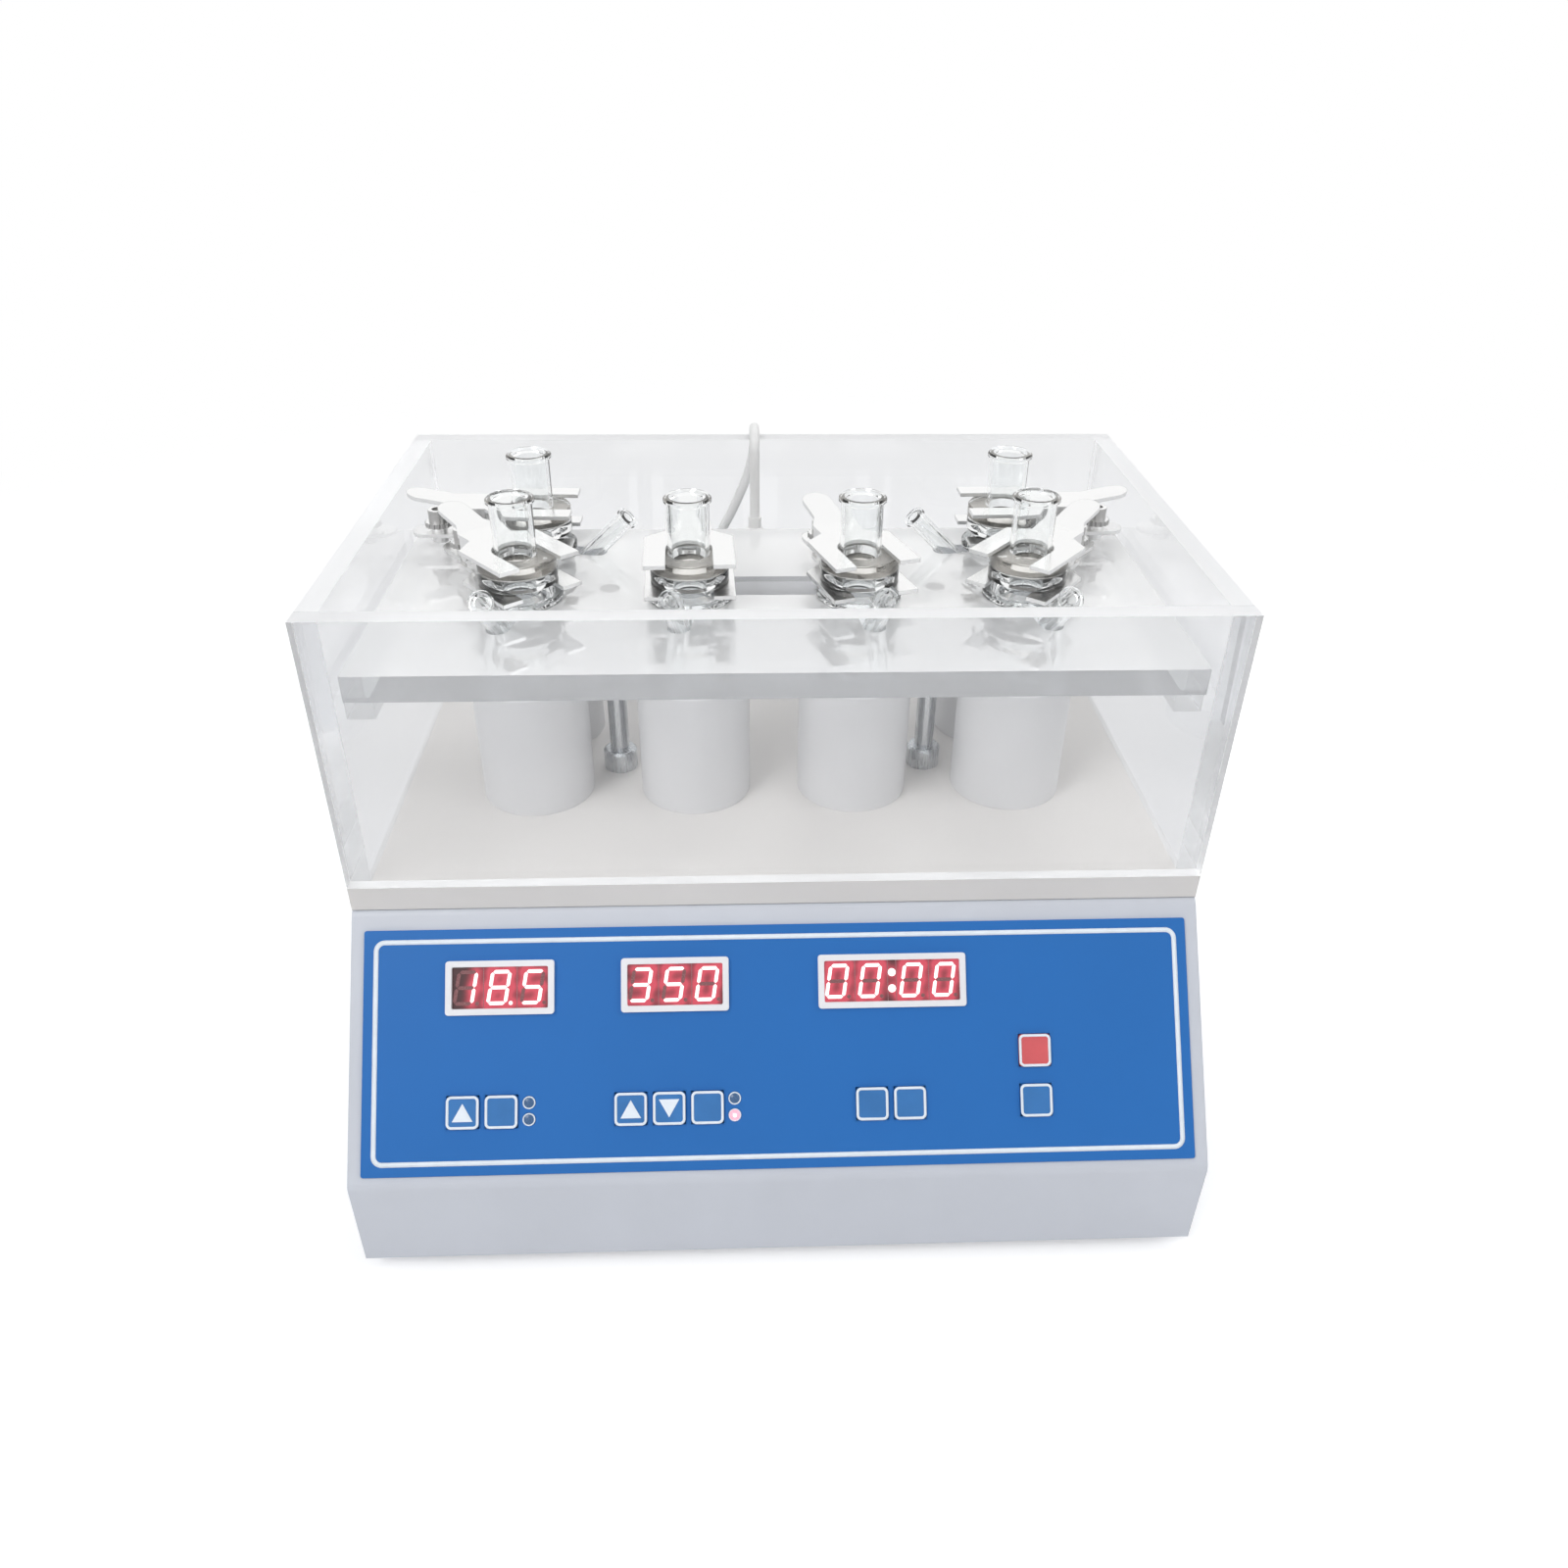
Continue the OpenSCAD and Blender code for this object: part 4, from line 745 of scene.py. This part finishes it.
def barOutline(path):
    # six-sided bar with pointed ends
    a, b = Vector(path[0]), Vector(path[1])
    along = (b - a).normalized()
    side = Vector((-along.y, along.x)) * digit["bar"] / 2
    point = along * digit["bar"] / 2
    a, b = a + along * digit["gap"], b - along * digit["gap"]
    return [a, a + point + side, b - point + side, b, b - point - side, a + point - side]


def roundOutline(centre, across):
    turns = [math.tau * k / digit["dotSides"] for k in range(digit["dotSides"])]
    return [Vector(centre) + Vector((math.cos(a), math.sin(a))) * across / 2 for a in turns]


def readDisplay(text):
    # lists of (outline, is lit, ends of its centre line) over the whole display
    count = sum(c.isdigit() for c in text)
    width = count * digit["pitch"] + text.count(":") * digit["colon"]
    marks, place = [], -width / 2
    for i, c in enumerate(text):
        if c == ":":
            for share in (-digit["colonSpread"], digit["colonSpread"]):
                spot = (place + digit["colon"] / 2, share * digit["high"])
                marks.append((roundOutline(spot, digit["colonDot"]), True, (spot, spot)))
            place += digit["colon"]
        elif c.isdigit():
            middle = place + digit["pitch"] / 2 - digit["aside"]
            for label, path in segmentPaths().items():
                outline = [slanted(p, middle) for p in barOutline(path)]
                marks.append((outline, label in strokes[c], [slanted(p, middle) for p in path]))
            spot = (middle + digit["wide"] / 2 + digit["dotAside"], -digit["high"] / 2)
            marks.append((roundOutline(spot, digit["dot"]), text[i + 1:i + 2] == ".", (spot, spot)))
            place += digit["pitch"]
    return marks, width


def seamLines(text, width):
    # thin joints between the modules of a display
    half, high = digit["seam"] / 2, digit["areaHigh"] / 2
    lines, place = [], -width / 2
    for c in text.replace(".", "")[:-1]:
        place += digit["colon"] if c == ":" else digit["pitch"]
        lines.append([(place + x * half, y * high) for x, y in ((-1, -1), (1, -1), (1, 1), (-1, 1))])
    return lines


def lightAt(point, marks):
    # how much light the lit bars throw on a point of the filter
    total = 0.0
    for outline, lit, ends in marks:
        if lit:
            a, b = (Vector(p) for p in ends)
            run = b - a
            share = max(0, min(1, (point - a).dot(run) / run.length_squared)) if run.length else 0
            total += math.exp(-((point - a - run * share).length / glow["reach"]) ** 2)
    return min(1.0, total)


def glowFace(name, marks, width):
    # fine grid over the filter that carries the light round the lit bars as an attribute
    across, up = int(width * glow["squares"]), int(digit["areaHigh"] * glow["squares"])
    wide, row = width - glow["border"], across + 1
    spots = [Vector(((i / across - 0.5) * wide, (j / up - 0.5) * digit["areaHigh"]))
             for j in range(up + 1) for i in range(row)]
    starts = [j * row + i for j in range(up) for i in range(across)]
    mesh = bpy.data.meshes.new(name)
    mesh.from_pydata([(p.x * mm, p.y * mm, glow["lift"] * mm) for p in spots], [],
                     [(s, s + 1, s + row + 1, s + row) for s in starts])
    light = mesh.attributes.new("glow", "FLOAT", "POINT")
    light.data.foreach_set("value", [lightAt(p, marks) for p in spots])
    mesh.materials.append(finishes["displayGlow"])
    return mesh


def makeDisplay(name, x, text):
    marks, width = readDisplay(text)
    outlines = {"lit": [m[0] for m in marks if m[1]], "dark": [m[0] for m in marks if not m[1]],
                "seams": seamLines(text, width)}
    label = f"display_{name}_"
    layers = {"glow": glowFace(label + "glow", marks, width)}
    for kind, look in marksOn.items():
        layers[kind] = flatMarks(label + kind, outlines[kind], *look)
    for kind, mesh in layers.items():
        mesh.transform(onOverlay(x, digit["y"], digit["face"]))
        linkMesh(label + kind, mesh, "housing")


for name, (x, text) in displays.items():
    makeDisplay(name, x, text)
print("displays lit:", ", ".join(text for x, text in displays.values()))

# four lamps in two pairs; the lower one of the second pair is on, with a lit cap and a brighter core
lamps = {"x": (61.3, 137.3), "y": 22.9, "pitch": 6.1, "across": 4.6, "rows": (-1, 1), "lit": (137.3, -1)}
lampRing = {"inset": 0.4, "round": 0.999, "line": 0.45, "rise": 0.5, "lift": 0.2}  # its corners nearly meet
# share of the lens, height over the film and finish of what is lit
lampCaps = {"lamp_lit_cap": (0.84, 0.35, "lampLit"), "lamp_lit_core": (0.45, 0.88, "lampCore")}
dome = {"around": 28, "up": 14, "flat": 0.5, "floor": -1e-6}


def onLamp(x, row, out):
    return onOverlay(x, lamps["y"] + row * lamps["pitch"] / 2, panel["film"] + out)


def lampCap(name, share, finish):
    # low dome, a share of the lens across
    body = bmesh.new()
    bmesh.ops.create_uvsphere(body, u_segments=dome["around"], v_segments=dome["up"],
                              radius=lamps["across"] / 2 * share * mm)
    low = [v for v in body.verts if v.co.z < dome["floor"]]
    bmesh.ops.delete(body, geom=low, context="VERTS")
    bmesh.ops.contextual_create(body, geom=[e for e in body.edges if e.is_boundary])
    bmesh.ops.scale(body, verts=body.verts, vec=(1, 1, dome["flat"]))
    mesh = closeMesh(name, body, finish)
    for p in mesh.polygons:
        p.use_smooth = True
    return mesh


def makeLamps():
    for name, (share, lift, finish) in lampCaps.items():
        cap = lampCap(name, share, finish)
        cap.transform(onLamp(*lamps["lit"], lift))
        linkMesh(name, cap, "housing")
    across = lamps["across"] - lampRing["inset"]
    look = {**lampRing, "corner": across / 2 * lampRing["round"]}
    for i, x in enumerate(lamps["x"], 1):
        for j, row in enumerate(lamps["rows"], 1):
            place = onLamp(x, row, lampRing["lift"])
            layRing(f"lamp_ring_{i}_{j}", across, across, look, "printInk", place, "housing")


makeLamps()
print("lamps set")

# case screws, sizes in millimetres: four along the rear edge, one up into each foot
screws = {"Head": 3, "Rise": 1.95, "Shank": 1.5, "Length": 8, "Slot": 3.6, "Cut": 0.85, "Depth": 1.1}
screwSpots = {"rear": ((-140.8, -48, 48, 140.8), 136.5, 15), "feet": ((-132, 132), (-114.5, 108.5), 4)}
screwMesh = {"around": 36, "up": 18, "shankSides": 24, "seed": 5, "sharp": 38, "under": 3.0}


def screwTree():
    # low domed head with a cross recess on a plain shank, set out on points along their own directions
    tree, given = startTree("crossScrew", screws, takesPoints=True)

    def vector(x, y, z):
        return addNode(tree, "ShaderNodeCombineXYZ", X=x, Y=y, Z=z).outputs[0]

    def times(value, share):
        return mathOf(tree, "MULTIPLY", value, share)

    def block(*size):
        return addNode(tree, "GeometryNodeMeshCube", Size=vector(*size)).outputs[0]

    def raised(shape, height):
        moved = addNode(tree, "GeometryNodeTransform", Geometry=shape, Translation=vector(0, 0, height))
        return moved.outputs[0]

    ball = addNode(tree, "GeometryNodeMeshUVSphere", Segments=screwMesh["around"], Rings=screwMesh["up"],
                   Radius=1.0)
    head = addNode(tree, "GeometryNodeTransform", Geometry=ball.outputs[0],
                   Scale=vector(given["Head"], given["Head"], given["Rise"]))
    wide, tall = times(given["Head"], screwMesh["under"]), times(given["Depth"], 2.0)
    cuts = [raised(block(wide, wide, wide), times(wide, -0.5)),
            raised(block(given["Slot"], given["Cut"], tall), given["Rise"]),
            raised(block(given["Cut"], given["Slot"], tall), given["Rise"])]
    carve = tree.nodes.new("GeometryNodeMeshBoolean")
    carve.operation = "DIFFERENCE"
    carve.solver = "EXACT"
    feed(tree, carve.inputs["Mesh 1"], head.outputs[0])
    for cut in cuts:
        feed(tree, carve.inputs["Mesh 2"], cut)
    rod = addNode(tree, "GeometryNodeMeshCylinder", Vertices=screwMesh["shankSides"], Radius=given["Shank"],
                  Depth=given["Length"])
    both = tree.nodes.new("GeometryNodeJoinGeometry")
    for shape in (carve.outputs[0], raised(rod.outputs[0], times(given["Length"], -0.5))):
        feed(tree, both.inputs[0], shape)
    way = addNode(tree, "GeometryNodeInputNamedAttribute", Name="out")
    way.data_type = "FLOAT_VECTOR"
    turned = addNode(tree, "FunctionNodeAlignRotationToVector", Vector=way.outputs[0])
    turned.axis = "Z"
    spin = tree.nodes.new("FunctionNodeRandomValue")
    spin.data_type = "FLOAT_VECTOR"
    feedAll(tree, spin, {"Min": (0, 0, 0), "Max": (0, 0, math.pi / 2), "Seed": screwMesh["seed"]})
    twist = tree.nodes.new("FunctionNodeRotateRotation")
    twist.rotation_space = "LOCAL"
    feedAll(tree, twist, {"Rotation": turned.outputs[0], "Rotate By": spin.outputs[0]})
    spread = addNode(tree, "GeometryNodeInstanceOnPoints", Points=given["Geometry"],
                     Instance=both.outputs[0], Rotation=twist.outputs[0])
    return endTree(tree, given, spread.outputs[0])


def makeScrews():
    xs, y, z = screwSpots["rear"]
    spots = [((x, y, z), (0, 1, 0)) for x in xs]
    xs, ys, z = screwSpots["feet"]
    spots += [((x, y, z), (0, 0, -1)) for x in xs for y in ys]
    points = bpy.data.meshes.new("screwPoints")
    points.from_pydata([Vector(spot) * mm for spot, way in spots], [], [])
    ways = points.attributes.new("out", "FLOAT_VECTOR", "POINT")
    ways.data.foreach_set("vector", [v for spot, way in spots for v in way])
    mesh = grown("cross_screws", screwTree(), screws, "screwZinc", Matrix(), points)
    mesh.shade_smooth()
    mesh.set_sharp_from_angle(angle=math.radians(screwMesh["sharp"]))
    made = linkMesh("cross_screws", mesh, "housing")
    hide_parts("case_screws")


makeScrews()
print("screws set out")

# plain studio: white paper floor, soft lamps, a light room, and what mirrors see of it by height
studio = {"floor": 8, "light": (0.97, 0.98, 1), "room": 0.5, "aim": (0, 0, 0.15),
          "mirror": [(0.25, (1, 1, 1)), (0.81, (0.98, 0.982, 0.985)), (0.93, (0.66, 0.67, 0.68))],
          "lamps": [("keyLamp", (-0.9, -1.0, 1.5), 0.9, 14), ("fillLamp", (1.2, -0.5, 1.2), 1.0, 6),
                    ("backLamp", (0.3, 0.9, 1.8), 1.0, 7)]}
# the paper glows a little for the eye, and fades to plain white between two distances
paper = {"colour": (0.9, 0.9, 0.905), "tone": (0.99, 1.0), "patch": 3, "rough": 0.9, "lift": 0.3,
         "fade": (0.3, 1.1)}
white = (1, 1, 1)


def seenBy(tree, *labels):
    # 1 for rays of the named kinds
    path = tree.nodes.new("ShaderNodeLightPath").outputs
    total = path[labels[0]]
    for label in labels[1:]:
        total = mathOf(tree, "MAXIMUM", total, path[label])
    return total


def makeRoom():
    # white for the eye and through glass, greyer overhead in mirrors, plain light for the rest
    world = bpy.data.worlds.new("studioRoom")
    scene.world = world
    world.use_nodes = True
    tree = world.node_tree
    tree.nodes.clear()
    height = axisOf(tree, tree.nodes.new("ShaderNodeTexCoord").outputs["Generated"], "Z")

    def sky(colour, strength):
        return addNode(tree, "ShaderNodeBackground", Color=colour, Strength=strength).outputs[0]

    plain = sky(studio["light"], studio["room"])
    mirrored = sky(rampOf(tree, height, studio["mirror"]), 1.0)
    room = shaderMix(tree, seenBy(tree, "Is Glossy Ray"), plain, mirrored)
    room = shaderMix(tree, seenBy(tree, "Is Camera Ray", "Is Transmission Ray"), room, sky(white, 1.0))
    addNode(tree, "ShaderNodeOutputWorld", Surface=room)


def paperFinish():
    # white paper that keeps the object's shadow and runs out to plain white away from it
    made, tree, shader, where = startMaterial("floorPaper")
    seen = seenBy(tree, "Is Camera Ray", "Is Glossy Ray", "Is Transmission Ray")
    drift = noiseAt(tree, where, paper["patch"], detail=3)
    feedAll(tree, shader, {
        "Base Color": tonedBy(tree, drift, paper["colour"], *paper["tone"]), "Roughness": paper["rough"],
        "Emission Color": white, "Emission Strength": mathOf(tree, "MULTIPLY", seen, paper["lift"])})
    away = mathOf(tree, "LENGTH", where, node="ShaderNodeVectorMath")
    fade = mathOf(tree, "MULTIPLY", rangeOf(tree, away, 0.0, 1.0, paper["fade"]), seen)
    plain = addNode(tree, "ShaderNodeEmission", Color=white, Strength=1.0)
    endMaterial(tree, shaderMix(tree, fade, shader.outputs[0], plain.outputs[0]))
    return made


def makeFloor():
    half = studio["floor"] / 2
    mesh = bpy.data.meshes.new("floor")
    corners = [(-half, -half, 0), (half, -half, 0), (half, half, 0), (-half, half, 0)]
    mesh.from_pydata(corners, [], [(0, 1, 2, 3)])
    mesh.materials.append(paperFinish())
    floor = bpy.data.objects.new("floor", mesh)
    scene.collection.objects.link(floor)


def makeLamp(name, place, across, power):
    data = bpy.data.lights.new(name, "AREA")
    data.shape = "DISK"
    data.size = across
    data.energy = power
    lamp = bpy.data.objects.new(name, data)
    lamp.location = place
    lamp.rotation_euler = (Vector(studio["aim"]) - Vector(place)).to_track_quat("-Z", "Y").to_euler()
    lamp.visible_glossy = place[1] < 0  # a lamp behind the part would blank out the plate, seen from above
    scene.collection.objects.link(lamp)


makeRoom()
makeFloor()
for row in studio["lamps"]:
    makeLamp(*row)
print("studio lit")
